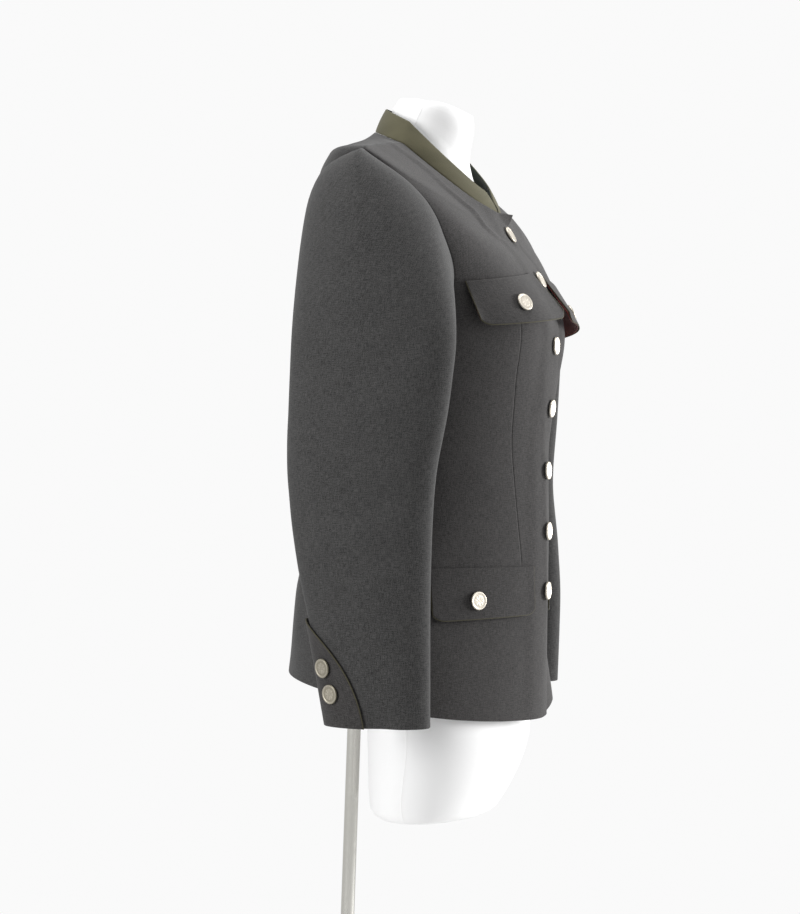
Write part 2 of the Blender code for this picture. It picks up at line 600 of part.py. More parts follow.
def flap_point(side, flap, across, down):
    """A point on a pocket flap's underside, and the front's normal there."""
    top = np.array(flap["top_inner"]) * (1 - across) + np.array(flap["top_outer"]) * across
    low = np.array(flap["low_inner"]) * (1 - across) + np.array(flap["low_outer"]) * across
    corner = max(0.0, across - 1 + FLAP_CORNER, FLAP_CORNER - across) / FLAP_CORNER
    shorter = FLAP_ROUND * (1 - math.sqrt(1 - min(corner, 1) ** 2))
    x, z = top + (low - top) * down * (1 - shorter)
    turn, rise = front_place(x, z)
    point, normal = front_surface(side, np.array(turn), np.array(rise))
    lift = flap["lift_inner"] * (1 - across) + flap["lift_outer"] * across
    lift = FLAP_SEAT + (lift - FLAP_SEAT) * abs(down) ** FLAP_CURL
    return point + normal * lift, normal


def flap_grid(side, flap):
    """Points on a flap's underside, with its rows going up, and the front's normals there."""
    points = []
    normals = []
    for down in np.linspace(1, 0, FLAP_ROWS):
        row = [flap_point(side, flap, across, down) for across in FLAP_COLUMNS]
        points.append([place[0] for place in row])
        normals.append([place[1] for place in row])
    return np.array(points), np.array(normals)


def make_flap(side, name, flap, lining):
    """A flap of wool, over its lining where that shows."""
    under, normal = flap_grid(side, flap)
    if lining:
        wall(lining, under + normal * FLAP_LINING, under, "lining", side)
        under = under + normal * (FLAP_LINING + SEAM)
    wall(name, under + normal * FLAP_CLOTH, under, "wool", side)


def make_button(side, name, seat, normal):
    """A round metal button with a raised rim, turned about its middle."""
    profile = (
        # radius, height
        (BUTTON_FOOT, 0.0),
        (BUTTON_RADIUS, BUTTON_BELLY),
        (BUTTON_RIM, BUTTON_TALL),
        BUTTON_FACE,
    )
    normal = normal / np.linalg.norm(normal)
    first = np.cross(normal, np.array([0.0, 0.0, 1.0]))
    first /= np.linalg.norm(first)
    second = np.cross(normal, first)
    points = []
    for radius, height in profile:
        for step in range(BUTTON_SIDES):
            angle = 2 * math.pi * step / BUTTON_SIDES
            spoke = first * math.cos(angle) + second * math.sin(angle)
            points.append(seat + normal * (height + BUTTON_GAP) + spoke * radius)
    add_turned(name, np.array(points), len(profile), BUTTON_SIDES, "pewter", side)


def add_turned(name, points, rings, sides, finish, side=LEFT):
    """Join rings of points, lowest first, into a closed body with flat ends."""
    points = points.copy()
    points[:, 0] *= side
    faces = [tuple(range(sides))[::-1], tuple(range((rings - 1) * sides, rings * sides))]
    for ring in range(rings - 1):
        for step in range(sides):
            after = (step + 1) % sides
            low = ring * sides
            high = low + sides
            faces.append((low + step, low + after, high + after, high + step))
    if side == RIGHT:
        faces = [tuple(reversed(face)) for face in faces]
    return add_object(name, points, faces, finish)


def make_front_buttons():
    for index, height in enumerate(FRONT_BUTTON_HEIGHTS):
        rise = rise_at(np.float64(height), 0.0)
        seat = front_surface(RIGHT, np.float64(0.0), rise)[0]
        above = body_point(0.0, rise + BUTTON_RADIUS)
        below = body_point(0.0, rise - BUTTON_RADIUS)
        level = np.cross(np.array([1.0, 0.0, 0.0]), above - below)
        level /= np.linalg.norm(level)
        make_button(LEFT, f"front_button_{index + 1}", seat + level * SEAM, level)


def make_flap_button(side, name, flap, lining):
    """The button in the middle of a flap, square to the cloth under it."""
    share, down = flap["button"]
    point, front_normal = flap_point(side, flap, share, down)
    beside = flap_point(side, flap, share + NEAR_ACROSS, down)[0]
    below = flap_point(side, flap, share, down + NEAR_DOWN)[0]
    above = flap_point(side, flap, share, down - NEAR_DOWN)[0]
    normal = np.cross(beside - point, above - below)
    thickness = FLAP_CLOTH + (FLAP_LINING + SEAM if lining else 0.0)
    make_button(side, name, point + front_normal * thickness, normal)


def tab_edge_angle(height):
    """The angle of the tab's curved front edge at a height above the cuff's edge."""
    share = np.clip(height / TAB_TALL, 0, 1)
    return TAB_BACK + TAB_SPAN * np.sqrt(1 - TAB_CLOSE * share**2)


def sleeve_normal(side, angle, drop):
    def surface(first, second):
        return hanging_point(side, first, second)
    return outward(surface, angle, drop)


def make_cuff_tab(side, name):
    heights = TAB_TALL * np.array(TAB_ROWS)
    across = np.linspace(0, 1, TAB_COLUMNS)
    edge = tab_edge_angle(heights)
    angle = TAB_BACK + (edge - TAB_BACK)[:, None] * across
    drop = (SLEEVE_DROP - heights)[:, None] + 0 * angle
    point = hanging_point(side, angle, drop)
    normal = sleeve_normal(side, angle, drop)
    inner = (point + normal * TAB_LIFT)[:, ::-1]
    wall(name, inner + normal[:, ::-1] * FLAP_CLOTH, inner, "wool", side)


def make_cuff_buttons(side, word):
    for index, (height, angle) in enumerate(CUFF_BUTTONS):
        drop = np.float64(SLEEVE_DROP - height)
        point = hanging_point(side, np.float64(angle), drop)
        normal = sleeve_normal(side, np.float64(angle), drop)
        lift = TAB_LIFT + FLAP_CLOTH
        make_button(side, f"cuff_button_{word}_{index + 1}", point + normal * lift, normal)


def make_form():
    rises = FORM[:, 0]
    turns = np.linspace(0, 2, FORM_SIDES // 2 + 1)
    rings = []
    for rise in rises:
        left = ring_point(FORM, turns, np.full_like(turns, rise))
        right = left[1:-1][::-1] * np.array([-1, 1, 1])
        rings.append(np.concatenate([left, right]))
    points = np.concatenate(rings)
    add_turned("form", points, len(rises), FORM_SIDES, "form")


def make_pole():
    low = np.array(POLE_LOW)
    top = np.array(POLE_TOP)
    rings = []
    for centre in (low, top):
        for step in range(POLE_SIDES):
            angle = 2 * math.pi * step / POLE_SIDES
            offset = np.array([math.cos(angle), math.sin(angle), 0]) * POLE_RADIUS
            rings.append(centre + offset)
    add_turned("pole", np.array(rings), 2, POLE_SIDES, "chrome")


def make_bracket():
    """A steel saddle that joins the pole's top to the form's back."""
    points = []
    for height in (BRACKET_LOW, BRACKET_HIGH):
        along = (height - POLE_LOW[2]) / (POLE_TOP[2] - POLE_LOW[2])
        pole_y = POLE_LOW[1] + (POLE_TOP[1] - POLE_LOW[1]) * along
        form_y = float(np.interp(height, FORM[:, 7], FORM[:, 6]))
        socket = POLE_RADIUS + SEAM
        near = form_y + 2 * SEAM
        points.append((BRACKET_WIDE / 2, near, height))
        points.append((BRACKET_WIDE / 2, pole_y, height))
        for step in range(BRACKET_ARC_STEPS + 1):
            angle = -math.pi * step / BRACKET_ARC_STEPS
            points.append((socket * math.cos(angle), pole_y + socket * math.sin(angle), height))
        points.append((-BRACKET_WIDE / 2, pole_y, height))
        points.append((-BRACKET_WIDE / 2, near, height))
    sides = len(points) // 2
    add_turned("bracket", np.array(points), 2, sides, "chrome")


def make_base():
    profile = (
        # radius, height
        (BASE_RADIUS, 0.0),
        (BASE_RADIUS, BASE_TALL - BASE_BEVEL),
        (BASE_RADIUS - BASE_BEVEL, BASE_TALL),
    )
    points = []
    for radius, height in profile:
        for step in range(BASE_SIDES):
            angle = 2 * math.pi * step / BASE_SIDES
            points.append((radius * math.cos(angle), radius * math.sin(angle), height))
    add_turned("base", np.array(points), len(profile), BASE_SIDES, "chrome")


def clear_scene():
    for obj in list(bpy.data.objects):
        bpy.data.objects.remove(obj, do_unlink=True)


def main():
    clear_scene()
    upper = np.concatenate([BACK_SHARES[3:], 1 + FRONT_SHARES[::-1][1:8]])
    under = np.concatenate([FRONT_SHARES[::-1][7:], BACK_SHARES[1:4]])
    for side, word in ((RIGHT, "right"), (LEFT, "left")):
        make_front(side, f"front_{word}")
        make_back(side, f"back_{word}")
        make_sleeve(side, f"upper_sleeve_{word}", upper)
        make_sleeve(side, f"under_sleeve_{word}", under)
        lining = f"chest_flap_lining_{word}"
        make_flap(side, f"chest_flap_{word}", CHEST_FLAP, lining)
        make_flap(side, f"hip_flap_{word}", HIP_FLAP, None)
        make_flap_button(side, f"chest_button_{word}", CHEST_FLAP, lining)
        make_flap_button(side, f"hip_button_{word}", HIP_FLAP, None)
        make_cuff_tab(side, f"cuff_tab_{word}")
        make_cuff_buttons(side, word)
    make_collar()
    make_front_buttons()
    make_form()
    make_pole()
    make_bracket()
    make_base()


main()
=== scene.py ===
# %% [markdown]
# # A trachten jacket on its dress form
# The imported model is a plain, closed solid for every panel of the jacket. Here each panel is made
# again as sewn wool: thinner at its turned edges, dipped at its seams, with the soft folds that a
# worn jacket keeps. The form, the buttons and the stand get finer shapes and real finishes.
# Everything is in metres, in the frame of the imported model: the jacket faces -Y, the wearer's right
# is -X, and +Z is up.

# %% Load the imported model
import json
import math

import bpy
import numpy as np
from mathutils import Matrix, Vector

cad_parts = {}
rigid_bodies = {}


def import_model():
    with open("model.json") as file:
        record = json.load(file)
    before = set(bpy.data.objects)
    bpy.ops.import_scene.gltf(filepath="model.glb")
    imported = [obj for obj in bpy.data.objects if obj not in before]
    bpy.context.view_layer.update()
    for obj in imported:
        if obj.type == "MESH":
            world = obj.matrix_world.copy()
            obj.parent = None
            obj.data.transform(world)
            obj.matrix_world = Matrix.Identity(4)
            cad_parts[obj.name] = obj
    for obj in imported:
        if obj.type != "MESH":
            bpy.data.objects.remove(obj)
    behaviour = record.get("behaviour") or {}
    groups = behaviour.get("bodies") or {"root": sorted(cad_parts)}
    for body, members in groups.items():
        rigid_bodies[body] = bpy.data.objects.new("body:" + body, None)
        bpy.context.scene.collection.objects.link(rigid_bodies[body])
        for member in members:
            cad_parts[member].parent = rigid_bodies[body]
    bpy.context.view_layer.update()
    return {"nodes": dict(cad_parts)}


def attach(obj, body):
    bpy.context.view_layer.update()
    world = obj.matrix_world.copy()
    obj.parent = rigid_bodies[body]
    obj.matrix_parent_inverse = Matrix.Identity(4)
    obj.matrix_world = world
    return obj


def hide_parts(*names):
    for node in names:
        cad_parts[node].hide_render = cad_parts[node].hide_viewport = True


for leftover in list(bpy.data.objects):
    bpy.data.objects.remove(leftover, do_unlink=True)
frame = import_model()

# %% [markdown]
# ## Camera
# The photograph was taken level with the jacket's chest, from the wearer's right and a little in
# front. Its place and lens were worked out from the button size and the pole's width, so the camera
# stands there, with no shift.

# %% Camera
CAMERA_PLACE = (-2.256, -0.821, 1.05)
CAMERA_TURN = math.radians(-70)
LENS_MM = 83.2
SENSOR_MM = 36.0


def link(obj):
    bpy.context.scene.collection.objects.link(obj)
    return obj


camera_data = bpy.data.cameras.new("camera")
camera_data.lens = LENS_MM
camera_data.sensor_width = SENSOR_MM
camera = link(bpy.data.objects.new("camera", camera_data))
camera.location = CAMERA_PLACE
camera.rotation_euler = (math.radians(90), 0, CAMERA_TURN)
bpy.context.scene.camera = camera
print("camera", CAMERA_PLACE, "lens", LENS_MM)

# %% [markdown]
# ## Studio
# The jacket stands in a white room with large soft lights, so its shadows are weak and the form
# almost melts into the background. A world that is white to the camera but dimmer as a light gives
# that look. Three big lamps add the brighter strips on the shoulders and the button edge: one in
# front on the wearer's left, one overhead, and one behind on the wearer's right.

# %% World
BACKDROP = 0.955
ROOM_LIGHT = 0.27
ROOM_REFLECTION = 0.72


def feed(tree, node, inputs):
    """Link each input of a node to a socket, or set it to a value."""
    for key, source in inputs.items():
        if isinstance(source, bpy.types.NodeSocket):
            tree.links.new(source, node.inputs[key])
        else:
            node.inputs[key].default_value = source


def add_node(tree, kind, inputs=None, **values):
    node = tree.nodes.new(kind)
    for key, value in values.items():
        setattr(node, key, value)
    feed(tree, node, inputs or {})
    return node


def weighted(tree, value, weight, rest=0.0, clamped=False):
    """value times weight, plus the rest."""
    inputs = {0: value, 1: weight, 2: rest}
    node = add_node(tree, "ShaderNodeMath", inputs, operation="MULTIPLY_ADD", use_clamp=clamped)
    return node.outputs[0]


world = bpy.data.worlds.new("studio")
bpy.context.scene.world = world
world.use_nodes = True
room = world.node_tree
rays = add_node(room, "ShaderNodeLightPath").outputs
strength = weighted(room, rays["Is Camera Ray"], BACKDROP - ROOM_LIGHT, ROOM_LIGHT)
strength = weighted(room, rays["Is Glossy Ray"], ROOM_REFLECTION - ROOM_LIGHT, strength)
feed(room, room.nodes["Background"], {"Color": (1.0, 1.0, 1.0, 1), "Strength": strength})
bpy.context.scene.view_settings.view_transform = "Standard"
print("room light", ROOM_LIGHT)

# %% Lamps
LAMPS = (
    # name, place, size, power in watts, what it points at
    ("front_lamp", (1.7, -2.6, 1.4), 1.4, 130, (0.0, -0.1, 1.1)),
    ("top_lamp", (-0.2, -0.1, 3.2), 1.8, 38, (0.0, 0.0, 1.2)),
    ("side_lamp", (-2.8, 1.5, 1.7), 1.4, 66, (0.0, 0.0, 1.1)),
)
for name, place, size, power, aim in LAMPS:
    lamp_data = bpy.data.lights.new(name, "AREA")
    lamp_data.shape = "DISK"
    lamp_data.size = size
    lamp_data.energy = power
    lamp = link(bpy.data.objects.new(name, lamp_data))
    lamp.location = place
    lamp.rotation_euler = (Vector(aim) - Vector(place)).to_track_quat("-Z", "Y").to_euler()
print(len(LAMPS), "lamps")

# %% [markdown]
# ## Tables of the garment
# The jacket's body is a stack of rings from hem to neckline, and each ring is given by how far it
# reaches at the side, the front and the back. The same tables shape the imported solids, so a panel
# that is made from them here lies exactly where its solid does. A smooth curve through each table
# fills in between the rows.

# %% The body's rings
CLOTH = 0.0020
FLAP_CLOTH = 0.0016
FLAP_LINING = 0.0010
SEAM = 0.0003
STEP = 0.0005
SEAM_TURN = 0.010
TRIES = 40
DAMPING = 0.7
RIGHT = -1
LEFT = 1
SIDES = ((RIGHT, "right"), (LEFT, "left"))

JACKET = np.array([
    # rise side_x side_y  side_z front_y front_z back_y back_z prow flank haunch seat  slope
    (.000, .188, -.015, .796, -.167, .761, .113, .815, .30, .50, .55, .60, .75),  # hem
    (.115, .183, -.015, .900, -.170, .900, .105, .900, .28, .48, .55, .58, .00),  # hip
    (.185, .174, -.020, .970, -.171, .970, .086, .970, .32, .48, .55, .58, .00),
    (.265, .163, -.030, 1.050, -.170, 1.050, .063, 1.050, .38, .50, .55, .58, .00),  # waist
    (.335, .169, -.040, 1.120, -.177, 1.120, .068, 1.120, .41, .52, .55, .58, .00),  # ribs
    (.395, .179, -.045, 1.180, -.180, 1.180, .078, 1.180, .48, .55, .55, .64, .00),  # bust
    (.455, .181, -.045, 1.240, -.171, 1.225, .082, 1.260, .60, .55, .55, .70, .00),  # chest
    (.515, .188, -.040, 1.305, -.153, 1.262, .076, 1.318, .66, .54, .60, .74, .10),  # armhole
    (.565, .193, -.033, 1.355, -.135, 1.285, .062, 1.364, .62, .52, .65, .66, .28),
    (.590, .192, -.029, 1.373, -.127, 1.298, .051, 1.380, .58, .50, .65, .58, .38),
    (.625, .155, -.029, 1.382, -.123, 1.307, .041, 1.394, .55, .48, .60, .55, .45),  # shoulder
    (.665, .115, -.030, 1.389, -.120, 1.314, .031, 1.405, .55, .50, .55, .52, .52),
    (.705, .076, -.032, 1.394, -.117, 1.322, .024, 1.418, .55, .55, .55, .50, .55),  # neckline
])
SHOULDER_END = 0.590
NECKLINE = 0.705
RISE_START = 0.785
MIDDLE_Y = -0.045
BUST_X = 0.080
BUST_Z = 1.185
BUST_RISE = 0.007
BUST_WIDE = 0.050
BUST_TALL = 0.060
BUST_REACH = 0.060
ARMHOLE = np.array([
    # share  y       z
    (.000, -.029, 1.373),  # shoulder seam
    (.120, -.077, 1.334),
    (.180, -.094, 1.312),
    (.230, -.104, 1.290),
    (.340, -.116, 1.240),
    (.430, -.110, 1.196),
    (.500, -.083, 1.176),
    (.570, -.045, 1.172),  # underarm
    (.650, -.003, 1.184),
    (.730, .034, 1.222),
    (.820, .046, 1.270),
    (.910, .036, 1.328),
    (.960, .014, 1.357),
    (1.000, -.029, 1.373),
])
UNDERARM = 0.570
FRONT_GUESS = 0.62
BACK_GUESS = 1.42


def end_slopes(keys, values):
    """Slopes for a smooth curve through a table that never overshoots its rows."""
    gaps = np.diff(keys)[:, None]
    rates = np.diff(values, axis=0) / gaps
    slopes = np.zeros_like(values)
    slopes[0] = rates[0]
    slopes[-1] = rates[-1]
    before = rates[:-1]
    after = rates[1:]
    same_way = before * after > 0
    weight_before = 2 * gaps[1:] + gaps[:-1]
    weight_after = gaps[1:] + 2 * gaps[:-1]
    safe_before = np.where(same_way, before, 1.0)
    safe_after = np.where(same_way, after, 1.0)
    mean = (weight_before + weight_after) / (weight_before / safe_before + weight_after / safe_after)
    slopes[1:-1] = np.where(same_way, mean, 0.0)
    return slopes


def read_table(table, at):
    """The table's other columns at each value of its first one."""
    keys = table[:, 0]
    values = table[:, 1:]
    slopes = end_slopes(keys, values)
    at = np.asarray(at, dtype=float)
    row = np.clip(np.searchsorted(keys, at, side="right") - 1, 0, len(keys) - 2)
    gap = (keys[row + 1] - keys[row])[..., None]
    s = ((at - keys[row]) / gap[..., 0])[..., None]
    start = (2 * s**3 - 3 * s**2 + 1) * values[row] + (s**3 - 2 * s**2 + s) * gap * slopes[row]
    end = (3 * s**2 - 2 * s**3) * values[row + 1] + (s**3 - s**2) * gap * slopes[row + 1]
    return np.moveaxis(start + end, -1, 0)


def ring_point(table, turn, rise):
    """A point on the left half: turn is 0 at the centre front, 1 at the side, 2 at the centre back."""
    turn = np.asarray(turn, dtype=float)
    (side_x, side_y, side_z, front_y, front_z, back_y, back_z,
     prow, flank, haunch, seat, slope) = read_table(table, rise)
    t = np.clip(np.abs(turn), 0, 1)
    k = 1 - t
    near = k**3 + 3 * k**2 * t
    front_width = side_x * (3 * k**2 * t * prow + 3 * k * t**2 + t**3)
    front_depth = side_y + (front_y - side_y) * (near + 3 * k * t**2 * flank)
    h = np.clip(turn, 0, 1)
    g = 1 - h
    front_height = side_z + (front_z - side_z) * (g**3 + 3 * g**2 * h + 3 * g * h**2 * slope)
    b = np.clip(turn - 1, 0, 1)
    c = 1 - b
    back_width = side_x * (c**3 + 3 * c**2 * b + 3 * c * b**2 * seat)
    back_depth = side_y + (back_y - side_y) * (3 * c**2 * b * haunch + 3 * c * b**2 + b**3)
    back_height = side_z + (back_z - side_z) * (3 * b**2 - 2 * b**3 + 3 * c**2 * b * slope)
    is_front = turn <= 1
    x = np.where(is_front, front_width * np.sign(turn), back_width)
    y = np.where(is_front, front_depth, back_depth)
    z = np.where(is_front, front_height, back_height)
    return np.stack([x, y, z], axis=-1)


def body_point(turn, rise):
    point = ring_point(JACKET, turn, rise)
    across = (np.abs(point[..., 0]) - BUST_X) / BUST_WIDE
    up = (point[..., 2] - BUST_Z) / BUST_TALL
    reach = np.clip((MIDDLE_Y - point[..., 1]) / BUST_REACH, 0, 1)
    point[..., 1] -= reach * BUST_RISE * np.exp(-across**2 - up**2)
    return point


def unit(vector):
    return vector / np.linalg.norm(vector, axis=-1, keepdims=True)


def outward(surface, first, second, reach=STEP):
    """Unit normals of a surface that is a function of two values."""
    along = surface(first + reach, second) - surface(first - reach, second)
    up = surface(first, second + STEP) - surface(first, second - STEP)
    return unit(np.cross(along, up))


def body_normal(turn, rise):
    turn = np.clip(turn, -1, 2 - 2 * STEP)
    return outward(body_point, turn, rise, SEAM_TURN)


hem_round = body_point(np.linspace(0, 2, 200), np.zeros(200))
hem_half = np.linalg.norm(np.diff(hem_round, axis=0), axis=1).sum()
print("the hem is", round(200 * hem_half, 1), "cm round")

# %% [markdown]
# ## Finding places on the body
# The armhole and the pocket flaps are known from the side and from the front, as heights and
# widths. To sew them on, the place on the body that has those coordinates is searched for: start
# with a guess, see how far off it is, and correct it a little less than fully, many times over.

# %% Search
def slopes(turn, rise, axes):
    """How fast the body's point moves along some axes with its turn, and with its rise."""
    by_turn = body_point(turn + STEP, rise) - body_point(turn - STEP, rise)
    by_rise = body_point(turn, rise + STEP) - body_point(turn, rise - STEP)
    return by_turn[..., axes] / (2 * STEP), by_rise[..., axes] / (2 * STEP)


def crossed(first, second):
    return first[..., 0] * second[..., 1] - first[..., 1] * second[..., 0]


def find_place(first, second, axes, turn, rise):
    """The turns and rises whose points have these values on two of the three axes."""
    target = np.stack([first, second], axis=-1)
    for _ in range(TRIES):
        miss = body_point(turn, rise)[..., axes] - target
        by_turn, by_rise = slopes(turn, rise, axes)
        scale = crossed(by_turn, by_rise)
        turn = turn - DAMPING * crossed(miss, by_rise) / scale
        rise = rise - DAMPING * crossed(by_turn, miss) / scale
    return turn, rise


def rise_at(height, turn):
    """The rise of the point at this height and turn."""
    rise = height - RISE_START
    for _ in range(TRIES):
        rise = rise + DAMPING * (height - body_point(turn, rise)[..., 2])
    return rise


def turn_at(across, rise):
    """The turn near the centre front where a ring is this far across."""
    turn = np.zeros_like(rise)
    for _ in range(TRIES):
        turn = turn - (body_point(turn, rise)[..., 0] - across) / slopes(turn, rise, 0)[0]
    return turn


def aside(turn, rise, distance):
    """The turn that lies a distance further round at the same rise."""
    here = np.minimum(turn, 2 - STEP)
    reach = body_point(here, rise) - body_point(here - STEP, rise)
    return turn + distance * STEP / np.linalg.norm(reach, axis=-1)


ARM_PLACES = 41
arm_shares = np.concatenate([np.linspace(0, UNDERARM, ARM_PLACES), np.linspace(UNDERARM, 1, ARM_PLACES)[1:]])
arm_y, arm_z = read_table(ARMHOLE, arm_shares)
guess = np.where(arm_shares < UNDERARM, FRONT_GUESS, BACK_GUESS)
arm_turns, arm_rises = find_place(arm_y, arm_z, [1, 2], guess, arm_z - RISE_START)
underarm_rise = float(rise_at(arm_z[ARM_PLACES - 1], 1.0))
for place, rise in ((0, SHOULDER_END), (ARM_PLACES - 1, underarm_rise), (-1, SHOULDER_END)):
    arm_turns[place] = 1.0
    arm_rises[place] = rise
armhole_table = np.stack([arm_shares, arm_turns, arm_rises], axis=1)
armhole_curve = body_point(arm_turns, arm_rises)
armhole_length = np.linalg.norm(np.diff(armhole_curve, axis=0), axis=1).sum()
print("underarm at rise", round(underarm_rise, 4), "armhole", round(100 * armhole_length, 1), "cm round")

# %% [markdown]
# ## Folds
# Worn wool doesn't crumple. It keeps a few broad, soft ridges and troughs where the body turns: from
# the neck down over the chest, from under the arm to the waist, behind the elbow and in the skirt.
# A simulation would spread small folds everywhere, so each fold is listed instead: a line of
# points along the cloth, how wide it is, and how far it lifts. The lift fades along and across it.
# No two are alike in length, depth or spacing, and the sides that the photograph hides have their
# own.

# %% The folds of the body
BODY_FOLDS = (
    # points along the fold, width, lift, all in millimetres
    # right front
    (((-76, 5, 1403), (-112, -28, 1390), (-105, -40, 1382), (-93, -61, 1365),
      (-91, -86, 1341), (-82, -101, 1327), (-70, -112, 1316), (-67, -122, 1301),
      (-53, -129, 1293), (-34, -134, 1286), (-16, -148, 1268)), 3.8, 2.6),
    (((-104, -66, 1356), (-98, -96, 1326), (-76, -118, 1302), (-50, -136, 1279)),
     12, -0.8),
    (((-156, -60, 1352), (-140, -100, 1306), (-92, -132, 1270)), 18, 0.7),
    (((-172, -105, 1198), (-150, -135, 1150), (-112, -158, 1098)), 10, -2.4),
    (((-176, -88, 1165), (-150, -130, 1112), (-120, -150, 1062)), 11, 2),
    (((-173, -70, 1118), (-150, -120, 1072), (-100, -158, 1040)), 10, -2),
    (((-160, -60, 1062), (-135, -125, 1038), (-70, -160, 1020)), 14, 1.5),
    (((-158, -95, 985), (-165, -95, 890), (-170, -95, 800)), 22, 3),
    (((-105, -150, 866), (-112, -152, 815), (-118, -148, 780)), 18, -2.4),
    (((-34, -176, 1178), (-19, -176, 1113), (-2, -172, 1036), (-4, -172, 969),
      (5, -170, 891), (12, -167, 800)), 7, 1.1),
    # left front
    (((142, -58, 1376), (136, -94, 1342), (98, -113, 1318), (50, -130, 1290)), 12, 2.4),
    (((170, -108, 1192), (142, -140, 1140), (104, -160, 1104)), 11, -2.2),
    (((175, -82, 1150), (152, -125, 1104), (128, -146, 1050)), 10, 1.9),
    (((168, -66, 1096), (142, -124, 1060), (92, -160, 1034)), 11, -1.9),
    (((160, -98, 975), (168, -96, 872), (172, -96, 800)), 20, 2.8),
    (((98, -154, 870), (104, -154, 818), (112, -150, 780)), 16, -2.2),
    # right back
    (((-168, 10, 1200), (-150, 50, 1150), (-96, 72, 1108)), 13, -2.6),
    (((-166, 0, 1150), (-136, 52, 1104), (-80, 68, 1076)), 12, 2.2),
    (((-150, 20, 1068), (-100, 56, 1052), (-40, 64, 1046)), 12, -2.2),
    (((-120, 62, 1040), (-60, 68, 1020), (-20, 70, 1014)), 14, 1.6),
    (((-132, 64, 985), (-142, 74, 900), (-150, 76, 810)), 22, 3.2),
    (((-78, 92, 930), (-88, 98, 870), (-92, 102, 812)), 18, -2.6),
    (((-120, 58, 1330), (-110, 74, 1270), (-104, 78, 1215)), 16, -1.8),
    # left back
    (((170, 4, 1192), (146, 50, 1138), (90, 72, 1112)), 12, -2.4),
    (((160, 6, 1134), (128, 52, 1092), (86, 66, 1082)), 13, 2),
    (((154, 14, 1060), (112, 54, 1044), (30, 64, 1040)), 11, -2.4),
    (((136, 60, 978), (146, 70, 892), (152, 74, 810)), 20, 3),
    (((70, 94, 938), (80, 100, 880), (86, 104, 812)), 18, -2.4),
    (((126, 54, 1322), (114, 74, 1262), (110, 78, 1220)), 15, -1.7),
)
SLEEVE_FOLDS = (
    # right sleeve
    (((-238, -122, 1190), (-262, -80, 1150), (-268, -30, 1118)), 17, -1.7),
    (((-250, -116, 1118), (-270, -60, 1082), (-268, 0, 1066)), 20, 1.5),
    (((-246, -122, 1030), (-270, -80, 1002), (-276, -35, 985)), 13, -1.9),
    (((-252, -118, 1000), (-274, -70, 975), (-272, -20, 955)), 14, 1.4),
    (((-248, -116, 962), (-272, -78, 944), (-274, -40, 932)), 12, -1.4),
    (((-236, 30, 1100), (-262, 6, 1040), (-266, -2, 990)), 16, 1.8),
    (((-222, 28, 1030), (-250, 14, 1000), (-266, -12, 972)), 11, -2),
    (((-208, -115, 1060), (-212, -85, 1030), (-208, -50, 1015)), 12, -2.2),
    (((-205, -30, 1110), (-208, -60, 1075), (-208, -90, 1060)), 13, 2),
    (((-226, -30, 1340), (-246, -34, 1290), (-256, -36, 1225)), 18, 1.2),
    # left sleeve
    (((240, -112, 1184), (264, -66, 1144), (268, -14, 1122)), 16, -1.6),
    (((252, -104, 1106), (270, -50, 1074), (264, 10, 1058)), 19, 1.6),
    (((246, -118, 1022), (271, -76, 996), (276, -30, 986)), 12, -2),
    (((252, -116, 988), (274, -72, 966), (272, -26, 950)), 13, 1.3),
    (((232, 34, 1088), (258, 12, 1030), (266, -4, 984)), 17, 1.7),
    (((222, 26, 1020), (250, 12, 990), (264, -10, 966)), 12, -1.9),
    (((208, -105, 1052), (212, -78, 1026), (208, -46, 1012)), 12, -2.1),
    (((228, -22, 1336), (248, -26, 1282), (256, -26, 1216)), 18, 1.3),
)
FOLD_ENDS = 0.35


def fold_lift(point, side, folds):
    """How far the folds lift each point of one side of the jacket."""
    real = point * np.array([side, 1, 1])
    total = np.zeros(point.shape[:-1])
    for line, width, lift in folds:
        line = np.array(line) / 1000
        steps = np.linalg.norm(np.diff(line, axis=0), axis=1)
        best = np.full(point.shape[:-1], np.inf)
        place = np.zeros(point.shape[:-1])
        walked = 0.0
        for start, end, step in zip(line[:-1], line[1:], steps):
            way = (end - start) / step
            along = np.clip((real - start) @ way, 0, step)
            away = np.linalg.norm(real - start - along[..., None] * way, axis=-1)
            nearer = away < best
            best = np.where(nearer, away, best)
            place = np.where(nearer, walked + along, place)
            walked += step
        share = np.clip(np.minimum(place, walked - place) / (FOLD_ENDS * walked), 0, 1)
        total += lift / 1000 * share**2 * (3 - 2 * share) * np.exp(-(1000 * best / width) ** 2)
    return total


print(len(BODY_FOLDS), "folds on the body,", len(SLEEVE_FOLDS), "on the sleeves")

# %% [markdown]
# ## Cloth with real edges
# A panel could be a flat grid with a Solidify modifier, but that gives the same square edge all
# round. Here each panel is two grids, one on each side of its middle surface, and how far they
# stand apart changes over it: at a turned edge they close in a half round, and at a seam the outer
# one dips, unevenly, as cloth does where thread pulls it in. The UV map is in metres of cloth, so
# every weave and thread has its true size.

# %% The shell of a panel
ROLL = 0.0014
ROLL_LEAST = 0.18
SEAM_DIP = 0.00040
SEAM_WIDE = 0.0010
PUCKER = 0.30
PUCKER_EVERY = 0.0093
HEM = 0.035
FACING = 0.070
NEAR_EDGE = (0, 0.0003, 0.0007, 0.0012, 0.0018, 0.0026, 0.0038, 0.0056, 0.0082)


def dense_ends(count, length, start=True, end=True):
    """Shares from 0 to 1 that crowd together near one or both ends of a length."""
    near = np.array(NEAR_EDGE) / length
    low = near if start else np.array([0.0])
    high = 1 - near[::-1] if end else np.array([1.0])
    middle = np.linspace(low[-1], high[0], count)[1:-1]
    return np.concatenate([low, middle, high])


